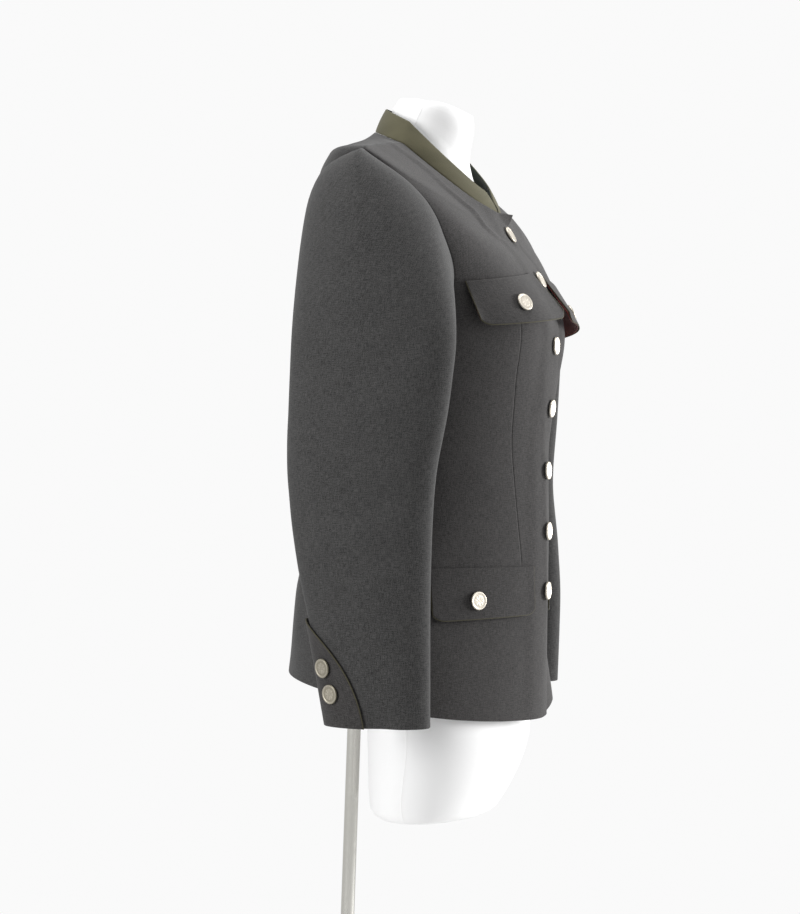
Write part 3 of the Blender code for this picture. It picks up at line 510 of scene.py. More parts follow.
def grid_normals(grid):
    """Unit normals of a grid of points, with its rows going up and its columns round."""
    return unit(np.cross(np.gradient(grid, axis=1), np.gradient(grid, axis=0)))


def lengths(grid, axis):
    """How far each point lies along its row or column, and the whole length of that line."""
    steps = np.linalg.norm(np.diff(grid, axis=axis), axis=-1)
    first = np.zeros_like(steps.take([0], axis=axis))
    walked = np.concatenate([first, np.cumsum(steps, axis=axis)], axis=axis)
    return walked, walked.take([-1], axis=axis)


def thickness(grid, half, edges):
    """How far the outer and inner sides stand from the middle of the cloth.
    edges says "turned" or "seam" for the first and last column, and the lowest and highest row."""
    across, width = lengths(grid, 1)
    up, height = lengths(grid, 0)
    outer = np.full(across.shape, half)
    inner = outer.copy()
    from_edges = (across, width - across, up, height - up)
    for kind, distance, along in zip(edges, from_edges, (up, up, across, across)):
        if kind == "turned":
            s = np.clip(distance / ROLL, 0, 1)
            round_edge = half * (ROLL_LEAST + (1 - ROLL_LEAST) * np.sqrt(1 - (1 - s) ** 2))
            outer = np.minimum(outer, round_edge)
            inner = np.minimum(inner, round_edge)
        else:
            uneven = 1 + PUCKER * np.sin(2 * math.pi * along / PUCKER_EVERY + 2 * np.sin(along * 41))
            outer = np.minimum(outer, half - SEAM_DIP * uneven * np.exp(-(distance / SEAM_WIDE) ** 2))
    return outer, inner


def add_mesh(name, points, faces, materials, side=LEFT, uv=None, slots=None):
    """A smooth mesh that moves with the part, mirrored on the right. uv is one pair for each point."""
    points = points.reshape(-1, 3) * np.array([side, 1, 1])
    mesh = bpy.data.meshes.new(name)
    mesh.from_pydata(points.tolist(), [], [face[::side] for face in faces])
    for material in materials:
        mesh.materials.append(material)
    if slots is not None:
        mesh.polygons.foreach_set("material_index", np.asarray(slots, dtype=np.int32))
    if uv is not None:
        corners = np.zeros(len(mesh.loops), dtype=np.int32)
        mesh.loops.foreach_get("vertex_index", corners)
        layer = mesh.uv_layers.new(name="cloth")
        layer.data.foreach_set("uv", uv[corners].astype(np.float32).ravel())
    mesh.shade_smooth()
    mesh.update()
    piece = link(bpy.data.objects.new(name, mesh))
    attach(piece, "root")
    return piece


def ring_faces(index):
    """Quads between closed rings of points, lowest first, with flat ends."""
    after = np.roll(index, -1, axis=1)
    faces = np.stack([index[:-1], after[:-1], after[1:], index[1:]], -1).reshape(-1, 4).tolist()
    return faces + [index[0, ::-1].tolist(), index[-1].tolist()]


def numbered(rows, columns):
    return np.arange(rows * columns).reshape(rows, columns)


def cloth_shell(name, grid, side, half, edges, cloth, lining=None, groove=0.0, hem=0.0, facing=0.0):
    """A panel of cloth round a middle surface. Its lining covers the inner side beyond the hem
    along the lowest row and the facing along the first column."""
    outer, inner = thickness(grid, half, edges)
    outer = outer - groove
    normal = grid_normals(grid)
    points = np.concatenate([
        (grid + normal * outer[..., None]).reshape(-1, 3),
        (grid - normal * inner[..., None]).reshape(-1, 3),
    ])
    index = numbered(*grid.shape[:2])
    count = index.size
    top = np.stack([index[:-1, :-1], index[:-1, 1:], index[1:, 1:], index[1:, :-1]], -1).reshape(-1, 4)
    low = top[:, ::-1] + count
    rim = np.concatenate([index[0], index[1:, -1], index[-1, -2::-1], index[-2:0:-1, 0]])
    after = np.roll(rim, -1)
    edge = np.stack([rim, rim + count, after + count, after], -1)
    faces = np.concatenate([top, low, edge]).tolist()
    across, width = lengths(grid, 1)
    up, height = lengths(grid, 0)
    uv = np.stack([across, up], axis=-1).reshape(-1, 2)
    slots = None
    if lining:
        slots = np.zeros(len(faces))
        covered = (up[:-1, :-1] > hem) & (across[:-1, :-1] >= facing)
        slots[len(top):2 * len(top)] = covered.reshape(-1)
    materials = [cloth, lining] if lining else [cloth]
    add_mesh(name, points, faces, materials, side, np.concatenate([uv, uv]), slots)
    cells = np.linalg.norm(np.cross(grid[1:, :-1] - grid[:-1, :-1], grid[:-1, 1:] - grid[:-1, :-1]), axis=-1)
    print(f"{name}: {width.max():.3f} x {height.max():.3f} m, {cells.sum():.4f} m2, {len(faces)} faces")


# %% [markdown]
# ## Yarn as a node group
# Melange wool is spun from black, grey and pale fibres, so up close it is a fine mixture, with
# short streaks along both sets of threads. The felt of the collar has the same mixture with no
# streaks. One node group makes both: two stretched noises for the threads, a round one for the
# loose fibres and a wide one for the unevenness of the cloth. It gives a colour and a height, and
# each material sets its own values.

# %% The yarn group
GRAINS = (
    # grains to the metre across the cloth and along it, and detail
    (1150, 130, 2.0),  # warp
    (150, 1050, 2.0),  # weft
    (1500, 1500, 2.0),  # fibre
    (34, 27, 3.0),  # cloud
)


def stretched_noise(tree, vector, across, up, detail):
    inputs = {0: vector, 1: (across, up, across)}
    scaled = add_node(tree, "ShaderNodeVectorMath", inputs, operation="MULTIPLY").outputs[0]
    inputs = {"Vector": scaled, "Scale": 1.0, "Detail": detail}
    return add_node(tree, "ShaderNodeTexNoise", inputs).outputs["Fac"]


def blended(tree, share, first, second):
    """The first colour where the share is 0, the second where it is 1."""
    inputs = {"Factor": share, 6: first, 7: second}
    return add_node(tree, "ShaderNodeMix", inputs, data_type="RGBA").outputs[2]


def new_group(name, inputs, outputs):
    """An empty node group with named inputs and outputs, and the sockets of what it is given."""
    group = bpy.data.node_groups.new(name, "ShaderNodeTree")
    for way, sockets in (("INPUT", inputs), ("OUTPUT", outputs)):
        for socket, kind in sockets.items():
            group.interface.new_socket(name=socket, in_out=way, socket_type=f"NodeSocket{kind}")
    return group, add_node(group, "NodeGroupInput").outputs


def make_yarn_group():
    group, given = new_group("yarn", {
        "Cloth": "Vector", "Thread": "Float", "Fibre": "Float", "Cloud": "Float", "Contrast": "Float",
        "Dark": "Color", "Light": "Color",
    }, {"Color": "Color", "Height": "Float"})
    warp, weft, fibre, cloud = [stretched_noise(group, given["Cloth"], *row) for row in GRAINS]
    threads = weighted(group, warp, 0.5, weighted(group, weft, 0.5))
    height = weighted(group, fibre, given["Fibre"], weighted(group, threads, given["Thread"]))
    mixed = weighted(group, cloud, given["Cloud"], height)
    average = 0.0
    for name in ("Thread", "Fibre", "Cloud"):
        average = weighted(group, given[name], 0.5, average)
    apart = weighted(group, average, -1.0, mixed)
    share = weighted(group, apart, given["Contrast"], 0.5, clamped=True)
    colour = blended(group, share, given["Dark"], given["Light"])
    add_node(group, "NodeGroupOutput", {"Color": colour, "Height": height})
    return group


yarn_group = make_yarn_group()
print("yarn group with", len(yarn_group.nodes), "nodes")

# %% [markdown]
# ## Wool, felt, piping and satin
# Wool scatters light from its standing fibres, which brightens it where it is seen at a slant. The
# Principled shader's sheen does that. Its colour is near black in the yarn and looks charcoal only
# through the pale fibres, so the two colours of the yarn group matter more than their average.

# %% Cloth materials
CLOTHS = {
    # dark, light, thread, fibre, cloud, contrast, bump depth, roughness, sheen.
    # the second wool is also the fronts' and the tabs': the same wool painted darker than the backs and
    # sleeves, as painted shade.
    "wool": ((.0100, .0100, .0100), (.0840, .0825, .0815), .45, .55, .05, 4.6, .00018, .95, .12),
    "wool_painted_shade": ((.0090, .0086, .0084), (.0740, .0700, .0690), .45, .55, .05, 4.6, .00018, .95, .12),
    "felt": ((.060, .056, .034), (.140, .130, .080), .12, .50, .30, 2.6, .00016, .95, .08),
    "piping": ((.030, .027, .015), (.090, .082, .052), .20, .60, .20, 1.6, .00010, .90, .10),
    # the collar's inner face: the same felt painted darker and greener, as painted shade
    "felt_painted_shade": ((.012, .016, .012), (.042, .050, .038), .12, .50, .30, 2.6, .00016, .95, .08),
    "satin": ((.110, .0200, .0160), (.240, .050, .040), .70, .10, .30, 1.2, .00005, .42, .10),
}
ROUGH_SPREAD = 0.12


def new_material(name):
    material = bpy.data.materials.new(name)
    material.use_nodes = True
    return material, material.node_tree, material.node_tree.nodes["Principled BSDF"]


def bump_from(tree, height, depth):
    return add_node(tree, "ShaderNodeBump", {"Distance": depth, "Height": height}).outputs["Normal"]


def cloth_material(name):
    dark, light, thread, fibre, cloud, contrast, depth, rough, sheen = CLOTHS[name]
    material, tree, shader = new_material(name)
    yarn = add_node(tree, "ShaderNodeGroup", node_tree=yarn_group)
    feed(tree, yarn, {
        "Cloth": add_node(tree, "ShaderNodeUVMap", uv_map="cloth").outputs["UV"],
        "Thread": thread, "Fibre": fibre, "Cloud": cloud, "Contrast": contrast,
        "Dark": (*dark, 1), "Light": (*light, 1),
    })
    height = yarn.outputs["Height"]
    feed(tree, shader, {
        "Base Color": yarn.outputs["Color"],
        "Roughness": weighted(tree, height, ROUGH_SPREAD, rough - ROUGH_SPREAD / 2),
        "Normal": bump_from(tree, height, depth),
        "Sheen Weight": sheen, "Sheen Roughness": 0.5, "Specular IOR Level": 0.25,
    })
    return material


# The second wool is the first one painted darker: painted shade.
wool, wool_painted_shade, felt, piping_cloth, felt_painted_shade, satin = [cloth_material(name) for name in CLOTHS]
print("cloth materials:", ", ".join(CLOTHS))

# %% [markdown]
# ## Fronts
# Each front runs from its overlapping edge round to the side seam, up the armhole and along the
# shoulder to the neck. The rows of its grid follow the rings, and its columns crowd towards the
# edges. The right front lies on the left one, so they step apart near the centre. One column
# follows the dart, so its seam can be pressed in as a sharp line without a finer grid.

# %% Shape of the fronts
FRONT_OVERLAP = 0.020
FRONT_STEP = (CLOTH + SEAM) / 2 + 0.0003
FRONT_EASE_START = 0.023
FRONT_EASE = 0.022
SWING = 0.012
SWING_X = 0.065
SWING_WIDE = 0.030
SWING_TALL = 0.090
CORNER = 0.013
CORNER_START = -0.006
CORNER_WIDE = 0.026
CORNER_RISE = 0.640
CORNER_CURL = 1.3


def smooth(share):
    share = np.clip(share, 0, 1)
    return share**2 * (3 - 2 * share)


def front_surface(side, turn, rise):
    """Points and normals on a front's outside, with its step, its swing and its folds."""
    point = body_point(turn, rise)
    normal = body_normal(turn, rise)
    ease = 1 - smooth((np.abs(point[..., 0]) - FRONT_EASE_START) / FRONT_EASE)
    step = ease * (FRONT_STEP if side == RIGHT else -FRONT_STEP)
    from_middle = (side * point[..., 0] - SWING_X) / SWING_WIDE
    low = np.clip(1 - rise / SWING_TALL, 0, 1)
    swing = SWING * low * (2 - low) * low * np.exp(-from_middle**2)
    lift = step + swing + fold_lift(point, side, BODY_FOLDS)
    moved = point + normal * lift[..., None]
    moved[..., 2] += swing
    if side == RIGHT:
        past = np.clip((-point[..., 0] - CORNER_START) / CORNER_WIDE, 0, 1)
        high = np.clip((rise - CORNER_RISE) / (NECKLINE - CORNER_RISE), 0, 1)
        moved[..., 1] -= CORNER * past**CORNER_CURL * high
    return moved, normal


# %% Edges of the panels
SIDE_ROWS = 46
SIDE_LENGTH = 0.39
ARM_ROWS = 44
SHOULDER_ROWS = 18
SHOULDER_LENGTH = 0.11
DART = np.array([
    # rise turn
    (.130, .232),
    (.151, .239),
    (.183, .259),
    (.249, .296),
    (.319, .330),
    (.356, .341),
    (.395, .330),
    (.420, .326),
])
DART_FADE = 0.020
FRONT_COLUMNS = (
    # count, width in metres: before the dart and after it
    (26, .09),
    (42, .16),
)
DART_DIP = 0.0005
DART_WIDE = 0.0008


def panel_rows(first_share, last_share, gap):
    """The outer edge of a panel, row by row, and the rise of the same row at the centre."""
    side = underarm_rise * dense_ends(SIDE_ROWS, SIDE_LENGTH, end=False)
    arm = np.linspace(0, 1, ARM_ROWS)
    shoulder = dense_ends(SHOULDER_ROWS, SHOULDER_LENGTH, start=False)
    shoulder = SHOULDER_END + (NECKLINE - SHOULDER_END) * shoulder
    arm_turn, arm_rise = read_table(armhole_table, first_share + (last_share - first_share) * arm)
    edge_turn = np.concatenate([
        aside(np.ones_like(side), side, gap),
        arm_turn[1:-1],
        aside(np.ones_like(shoulder), shoulder, gap),
    ])
    edge_rise = np.concatenate([side, arm_rise[1:-1], shoulder])
    centre_rise = np.concatenate([
        side, (underarm_rise + (SHOULDER_END - underarm_rise) * arm)[1:-1], shoulder,
    ])
    return edge_turn, edge_rise, centre_rise


def make_front(side, word):
    edge_turn, edge_rise, centre_rise = panel_rows(UNDERARM, 0, -SEAM / 2)
    starts = turn_at(np.full(len(centre_rise), -FRONT_OVERLAP), centre_rise)
    dart_turn = read_table(DART, np.clip(centre_rise, DART[0, 0], DART[-1, 0]))[0]
    dart = ((dart_turn - starts) / (edge_turn - starts))[:, None]
    first, second = [dense_ends(count, length) for count, length in FRONT_COLUMNS]
    spread = np.concatenate([
        np.broadcast_to(dart * first, (len(starts), len(first))),
        dart + (1 - dart) * second[1:],
    ], axis=1)
    turns = starts[:, None] + (edge_turn - starts)[:, None] * spread
    rises = centre_rise[:, None] + (edge_rise - centre_rise)[:, None] * spread
    outside, normal = front_surface(side, turns, rises)
    middle = outside - normal * CLOTH / 2
    across = lengths(middle, 1)[0]
    from_dart = across - across[:, len(first) - 1][:, None]
    fade = smooth((rises - DART[0, 0]) / DART_FADE) * smooth((DART[-1, 0] - rises) / DART_FADE)
    groove = DART_DIP * fade * np.exp(-(from_dart / DART_WIDE) ** 2)
    edges = ("turned", "seam", "turned", "seam")
    name = f"front_{word}_cloth"
    cloth_shell(name, middle, side, CLOTH / 2, edges, wool_painted_shade, satin, groove, HEM, FACING)


for side, word in SIDES:
    make_front(side, word)

# %% [markdown]
# ## Backs
# The two back panels meet in a plain centre seam, which the photograph doesn't show. They come from
# the same rings, with their own folds between the shoulder blades, at the waist and in the skirt.

# %% Back panels
BACK_COLUMNS = 58
BACK_WIDTH = 0.19


def make_back(side, word):
    edge_turn, edge_rise, centre_rise = panel_rows(UNDERARM, 1, SEAM / 2)
    ends = aside(np.full(len(centre_rise), 2.0), centre_rise, -SEAM / 2)
    spread = dense_ends(BACK_COLUMNS, BACK_WIDTH)
    turns = edge_turn[:, None] + (ends - edge_turn)[:, None] * spread
    rises = edge_rise[:, None] + (centre_rise - edge_rise)[:, None] * spread
    point = body_point(turns, rises)
    normal = body_normal(turns, rises)
    lift = fold_lift(point, side, BODY_FOLDS) - CLOTH / 2
    middle = point + normal * lift[..., None]
    edges = ("seam", "seam", "turned", "seam")
    cloth_shell(f"back_{word}_cloth", middle, side, CLOTH / 2, edges, wool, satin, hem=HEM)


for side, word in SIDES:
    make_back(side, word)

# %% [markdown]
# ## Sleeves
# Each sleeve has two panels, an upper and an under one. They start at the armhole, set off from the
# body at a slant to give the sleeve head its roll, and hang straight down to the cuff. The head is
# a curve from each armhole point to the matching point of the hanging tube, so it stays smooth
# however the two rings differ.

# %% Shape of the sleeves
SLEEVE = np.array([
    # drop centre_x half_x right_y right_half left_y left_half
    (.000, .2230, .0380, -.0500, .0895, -.0410, .0840),  # underarm
    (.050, .2280, .0370, -.0475, .0870, -.0390, .0815),
    (.120, .2350, .0360, -.0430, .0805, -.0370, .0760),
    (.210, .2420, .0340, -.0485, .0720, -.0465, .0710),  # elbow
    (.270, .2430, .0320, -.0550, .0650, -.0550, .0650),
    (.310, .2430, .0300, -.0590, .0610, -.0580, .0610),
    (.374, .2430, .0280, -.0650, .0550, -.0620, .0545),  # cuff
])
SLEEVE_TOP_Z = 1.150
SLEEVE_DROP = 0.374
SLEEVE_STEP = 0.010
HEAD_ROWS = 30
HEAD_LENGTH = 0.10
HANGING_ROWS = 66
HEAD_OUT = 0.35
HEAD_ASIDE = 0.90
HEAD_DOWN = 0.75
HEAD_PULL = 0.75
ARM_SEAM = 0.0006
FOLD_DEPTH = 0.005
FOLD_ANGLE = math.radians(12)
FOLD_WIDTH = math.radians(16)
FOLD_HEIGHT = 0.055
FRONT_ARM_SEAM = 0.7 * UNDERARM
BACK_ARM_SEAM = UNDERARM + 0.375 * (1 - UNDERARM)


def sleeve_angle(share):
    """The angle round the hanging sleeve: 0 faces out, a half turn faces the body."""
    share = share % 1
    front = 180 * share / UNDERARM
    back = 180 + 180 * (share - UNDERARM) / (1 - UNDERARM)
    return np.radians(np.where(share <= UNDERARM, front, back))


def hanging_point(side, angle, drop):
    """A point on a sleeve below the armhole, as if it were the left one."""
    centre_x, half_x, *depths = read_table(SLEEVE, np.clip(drop, 0, SLEEVE_DROP + SLEEVE_STEP))
    centre_y, half_y = depths[:2] if side == RIGHT else depths[2:]
    turn = (angle - FOLD_ANGLE + math.pi) % (2 * math.pi) - math.pi
    low = np.clip(1 - (SLEEVE_DROP - drop) / FOLD_HEIGHT, 0, 1)
    valley = FOLD_DEPTH * low**2 * np.exp(-(turn / FOLD_WIDTH) ** 2)
    x = centre_x + (half_x - valley) * np.cos(angle)
    y = centre_y - half_y * np.sin(angle)
    return np.stack([x, y, SLEEVE_TOP_Z - drop + 0 * x], axis=-1)


def armhole_start(share):
    """Where the sleeve begins and the way it sets off."""
    turn, rise = read_table(armhole_table, share % 1)
    point = body_point(turn, rise)
    normal = body_normal(turn, rise)
    under = np.clip(np.cos(sleeve_angle(share) - math.pi), 0, 1)
    away = np.stack([HEAD_ASIDE + 0 * under, 0 * under, -HEAD_DOWN * under], axis=-1)
    heading = unit(normal * HEAD_OUT + away)
    return point + heading * 2 * SEAM, heading


def sleeve_grid(side, shares):
    """Points of the sleeve's outside, with its rows going up from the cuff to the armhole."""
    start, heading = armhole_start(shares)
    angle = sleeve_angle(shares)
    end = hanging_point(side, angle, np.zeros_like(shares))
    reach = np.linalg.norm(end - start, axis=-1, keepdims=True)
    below = hanging_point(side, angle, np.full_like(shares, SLEEVE_STEP))
    way_down = unit(below - end)
    rows = []
    for w in dense_ends(HEAD_ROWS, HEAD_LENGTH, end=False)[:-1]:
        above = (2 * w**3 - 3 * w**2 + 1) * start + (w**3 - 2 * w**2 + w) * reach * HEAD_PULL * heading
        lower = (3 * w**2 - 2 * w**3) * end + (w**3 - w**2) * reach * way_down
        rows.append(above + lower)
    for drop in SLEEVE_DROP * dense_ends(HANGING_ROWS, SLEEVE_DROP, start=False):
        rows.append(hanging_point(side, angle, np.full_like(shares, drop)))
    return np.array(rows[::-1])


# %% Sleeve panels
SLEEVE_HEM = 0.030
PANELS = (
    # name, first and last share of the armhole, columns, width in metres
    ("upper", BACK_ARM_SEAM, 1 + FRONT_ARM_SEAM, 64, 0.24),
    ("under", FRONT_ARM_SEAM, BACK_ARM_SEAM, 34, 0.13),
)


def make_sleeve(side, name, first, last, columns, width):
    shares = first + ARM_SEAM + (last - first - 2 * ARM_SEAM) * dense_ends(columns, width)
    outside = sleeve_grid(side, shares)[:, ::-1]
    normal = grid_normals(outside)
    lift = fold_lift(outside, side, SLEEVE_FOLDS) - CLOTH / 2
    middle = outside + normal * lift[..., None]
    edges = ("seam", "seam", "turned", "seam")
    cloth_shell(name, middle, side, CLOTH / 2, edges, wool, satin, hem=SLEEVE_HEM)


for side, word in SIDES:
    for place, *numbers in PANELS:
        make_sleeve(side, f"{place}_sleeve_{word}_cloth", *numbers)

# %% [markdown]
# ## Stand collar
# The collar is a straight band of olive felt that stands on the neckline and leans in towards the
# neck. Its two ends meet at the centre front, where the top edge rounds down. A real one bellies
# out a little between its seam and its top edge, so this one does too.

# %% Collar
COLLAR_TALL = 0.026
COLLAR_MORE = 0.0022
COLLAR_MORE_START = 0.12
COLLAR_MORE_TURNS = 0.40
COLLAR_LEAN = math.radians(25)
COLLAR_ENDS = {RIGHT: 0.013, LEFT: 0.024}
COLLAR_LIFT = 0.0010
COLLAR_SEAT = -0.0009
COLLAR_GAP = 0.004
COLLAR_END_TALL = 0.22
COLLAR_BELLY = 0.0009
COLLAR_COLUMNS = 84
COLLAR_ROWS = 16
COLLAR_WIDTH = 0.17
COLLAR_TURN = 0.001


def collar_rows(turns, share_up, side):
    """Points up the collar; share_up is 0 at the neckline and 1 at the top edge."""
    base = body_point(turns, np.full_like(turns, NECKLINE))
    inward = np.array([0, MIDDLE_Y, 0]) - base
    inward[..., 2] = 0
    inward = unit(inward)
    up = inward * math.sin(COLLAR_LEAN) + np.array([0, 0, math.cos(COLLAR_LEAN)])
    past = np.clip((np.abs(base[..., 0]) - COLLAR_GAP / 2) / COLLAR_ENDS[side], 0, 1)
    rounded = COLLAR_END_TALL + (1 - COLLAR_END_TALL) * np.sqrt(1 - (1 - past) ** 2)
    tall = np.where(base[..., 1] < MIDDLE_Y, rounded, 1.0)
    tall = tall * (COLLAR_TALL + COLLAR_MORE * smooth((turns - COLLAR_MORE_START) / COLLAR_MORE_TURNS))
    belly = COLLAR_BELLY * np.sin(math.pi * share_up)
    height = COLLAR_LIFT + tall * share_up + COLLAR_SEAT * (1 - share_up)
    return base + up * height[..., None] - inward * belly[..., None]


def make_collar():
    first = float(turn_at(np.array([COLLAR_GAP / 2]), np.array([NECKLINE]))[0])
    left = first + (2 - first) * dense_ends(COLLAR_COLUMNS, COLLAR_WIDTH, end=False)
    grids = []
    for share_up in dense_ends(COLLAR_ROWS, COLLAR_TALL):
        height = np.full_like(left, share_up)
        right_half = collar_rows(left[:-1], height[:-1], RIGHT) * np.array([-1, 1, 1])
        grids.append(np.concatenate([right_half, collar_rows(left, height, LEFT)[::-1]]))
    outside = np.array(grids)[:, ::-1]
    middle = outside - grid_normals(outside) * CLOTH / 2
    edges = ("turned", "turned", "seam", "turned")
    # The collar's inner face takes the darker felt: painted shade.
    cloth_shell("collar_cloth", middle, LEFT, CLOTH / 2, edges, felt, felt_painted_shade, hem=COLLAR_TURN)


make_collar()

# %% [markdown]
# ## Pocket flaps and their piping
# A flap is sewn along its top edge and stands off the front towards its lower edge, more on the
# chest, where the far one shows its rust-red lining in the photograph. A thin olive cord is sewn
# into the edge. It is a small round tube along the flap's sides and lower edge.

# %% Shape of the flaps
CHEST_FLAP = {
    # corners across and up, the button's share across and down, and how far the lower corners lift
    "top_inner": (0.028, 1.250), "top_outer": (0.144, 1.235),
    "low_inner": (0.017, 1.199), "low_outer": (0.134, 1.189),
    "button": (0.57, 0.60), "lift_inner": 0.017, "lift_outer": 0.012,
}
HIP_FLAP = {
    "top_inner": (0.030, 0.930), "top_outer": (0.148, 0.932),
    "low_inner": (0.030, 0.878), "low_outer": (0.148, 0.876),
    "button": (0.64, 0.64), "lift_inner": 0.003, "lift_outer": 0.003,
}
FLAP_CORNER = 0.10
FLAP_ROUND = 0.16
FLAP_SEAT = 0.0007
FLAP_CURL = 1.3
FLAP_COLUMNS = 34
FLAP_WIDTH = 0.11
FLAP_ROWS = 16
FLAP_LENGTH = 0.045


def flap_point(side, flap, across, down):
    """Points on a pocket flap's underside, and the front's normals there."""
    across = np.asarray(across, dtype=float)
    down = np.asarray(down, dtype=float)
    top, low = [np.multiply.outer(1 - across, flap[f"{edge}_inner"])
                + np.multiply.outer(across, flap[f"{edge}_outer"]) for edge in ("top", "low")]
    past = np.maximum(across - 1 + FLAP_CORNER, FLAP_CORNER - across) / FLAP_CORNER
    shorter = FLAP_ROUND * (1 - np.sqrt(1 - np.clip(past, 0, 1) ** 2))
    spot = top + (low - top) * (down * (1 - shorter))[..., None]
    turn, rise = find_place(spot[..., 0], spot[..., 1], [0, 2], 5 * spot[..., 0], spot[..., 1] - RISE_START)
    point, normal = front_surface(side, turn, rise)
    lift = flap["lift_inner"] * (1 - across) + flap["lift_outer"] * across
    lift = FLAP_SEAT + (lift - FLAP_SEAT) * np.abs(down) ** FLAP_CURL
    return point + normal * lift[..., None], normal


def flap_grid(side, flap):
    """Points on a flap's underside, with its rows going up, and the front's normals there."""
    across = dense_ends(FLAP_COLUMNS, FLAP_WIDTH)
    down = dense_ends(FLAP_ROWS, FLAP_LENGTH)[::-1]
    return flap_point(side, flap, *np.meshgrid(across, down))


# %% Tubes for piping
PIPE_RADIUS = 0.00075
PIPE_SIDES = 8
PIPE_SUNK = 0.0002
STEEP = 0.2


def make_piping(name, line, side):
    """A round cord along a line of points, with closed ends."""
    way = unit(np.gradient(line, axis=0))
    first = np.cross(way, [0.0, 0.0, 1.0])
    if np.linalg.norm(first[0]) < STEEP:
        first[0] = np.cross(way[0], [0.0, 1.0, 0.0])
    for step in range(1, len(line)):
        first[step] = unit(first[step - 1] - way[step] * (first[step - 1] @ way[step]))
    first[0] = unit(first[0])
    second = np.cross(way, first)
    angles = 2 * math.pi * np.arange(PIPE_SIDES) / PIPE_SIDES
    spokes = first[:, None] * np.cos(angles)[:, None] + second[:, None] * np.sin(angles)[:, None]
    faces = ring_faces(numbered(len(line), PIPE_SIDES))
    walked = lengths(line[None], 1)[0][0]
    uv = np.stack(np.meshgrid(PIPE_RADIUS * angles, walked), -1).reshape(-1, 2)
    add_mesh(name, line[:, None] + PIPE_RADIUS * spokes, faces, [piping_cloth], side, uv)
    print(f"{name}: {walked[-1]:.3f} m of piping")


def trim_line(grid):
    """Down the first column, along the lowest row and up the last column."""
    return np.concatenate([grid[::-1, 0], grid[0, 1:-1], grid[:, -1]])


# %% Flaps, linings and piping
FLAP_EDGES = ("turned", "turned", "turned", "seam")
POCKETS = (("chest", CHEST_FLAP, True), ("hip", HIP_FLAP, False))


def make_flap(side, word, place, flap, has_lining):
    under, normal = flap_grid(side, flap)
    if has_lining:
        middle = under + normal * FLAP_LINING / 2
        cloth_shell(f"{place}_flap_satin_{word}", middle, side, FLAP_LINING / 2, FLAP_EDGES, satin)
        under = under + normal * (FLAP_LINING + SEAM)
    middle = under + normal * FLAP_CLOTH / 2
    cloth_shell(f"{place}_flap_{word}_cloth", middle, side, FLAP_CLOTH / 2, FLAP_EDGES, wool_painted_shade)
    make_piping(f"{place}_flap_{word}_piping", trim_line(middle - normal * PIPE_SUNK), side)


for side, word in SIDES:
    for pocket in POCKETS:
        make_flap(side, word, *pocket)

# %% [markdown]
# ## Cuff tabs
# A curved tab lies over the vent at the back of each cuff, with a piped edge and two buttons. It
# follows the sleeve's own surface, a little above it.

# %% Tabs
TAB_TALL = 0.108
TAB_BACK = math.radians(256)
TAB_SPAN = math.radians(98)
TAB_CLOSE = 0.96
TAB_LIFT = 0.0018
TAB_ROWS = 30
TAB_CROWDED = 0.09
TAB_CURVE = 1.6
TAB_COLUMNS = 26
TAB_WIDTH = 0.06


def sleeve_normal(side, angle, drop):
    return outward(lambda first, second: hanging_point(side, first, second), angle, drop)


def make_tab(side, word):
    height = 1 - dense_ends(TAB_ROWS, TAB_CROWDED)[::-1]
    height = TAB_TALL * (1 - height**TAB_CURVE)[::-1]
    across = dense_ends(TAB_COLUMNS, TAB_WIDTH)
    edge = TAB_BACK + TAB_SPAN * np.sqrt(1 - TAB_CLOSE * (height / TAB_TALL) ** 2)
    angle = TAB_BACK + (edge - TAB_BACK)[:, None] * across
    drop = (SLEEVE_DROP - height)[:, None] + 0 * angle
    point = hanging_point(side, angle, drop)
    normal = sleeve_normal(side, angle, drop)
    middle = (point + normal * (TAB_LIFT + FLAP_CLOTH / 2))[:, ::-1]
    cloth_shell(f"cuff_tab_{word}_cloth", middle, side, FLAP_CLOTH / 2, ["turned"] * 4, wool_painted_shade)
    make_piping(f"cuff_tab_{word}_piping", np.concatenate([middle[:, 0], middle[-1, 1:]]), side)


for side, word in SIDES:
    make_tab(side, word)

# %% [markdown]
# ## Metal finishes
# The buttons look like old silver: bright where they rub, darker in the hollows. The darkness comes
# from a value stored on the mesh, so it sits in the relief and not at random. The stand is polished
# steel, and the form is smooth white plastic with the faintest grain.

# %% Metal and plastic
WORN = 0.35


def make_speckle_group():
    """Fine wear for hard finishes: a mask of round grains, in metres of the object."""
    group, given = new_group("speckle", {"Grains": "Float"}, {"Mask": "Float"})
    place = add_node(group, "ShaderNodeNewGeometry").outputs["Position"]
    inputs = {"Vector": place, "Scale": given["Grains"], "Detail": 3.0}
    noise = add_node(group, "ShaderNodeTexNoise", inputs).outputs["Fac"]
    add_node(group, "NodeGroupOutput", {"Mask": noise})
    return group


speckle_group = make_speckle_group()


def hard_material(name, colour, metallic, rough, grains, rough_spread, depth, tarnish=None):
    """A hard finish. The tarnish is its colour where the mesh is marked as hollow."""
    material, tree, shader = new_material(name)
    speckle = add_node(tree, "ShaderNodeGroup", node_tree=speckle_group)
    feed(tree, speckle, {"Grains": grains})
    mask = speckle.outputs["Mask"]
    colour = (*colour, 1)
    if tarnish:
        hollow = add_node(tree, "ShaderNodeAttribute", attribute_name="hollow").outputs["Fac"]
        colour = blended(tree, weighted(tree, mask, WORN, hollow), colour, (*tarnish, 1))
    feed(tree, shader, {
        "Base Color": colour,
        "Metallic": metallic,
        "Roughness": weighted(tree, mask, rough_spread, rough - rough_spread / 2),
        "Normal": bump_from(tree, mask, depth),
    })
    return material


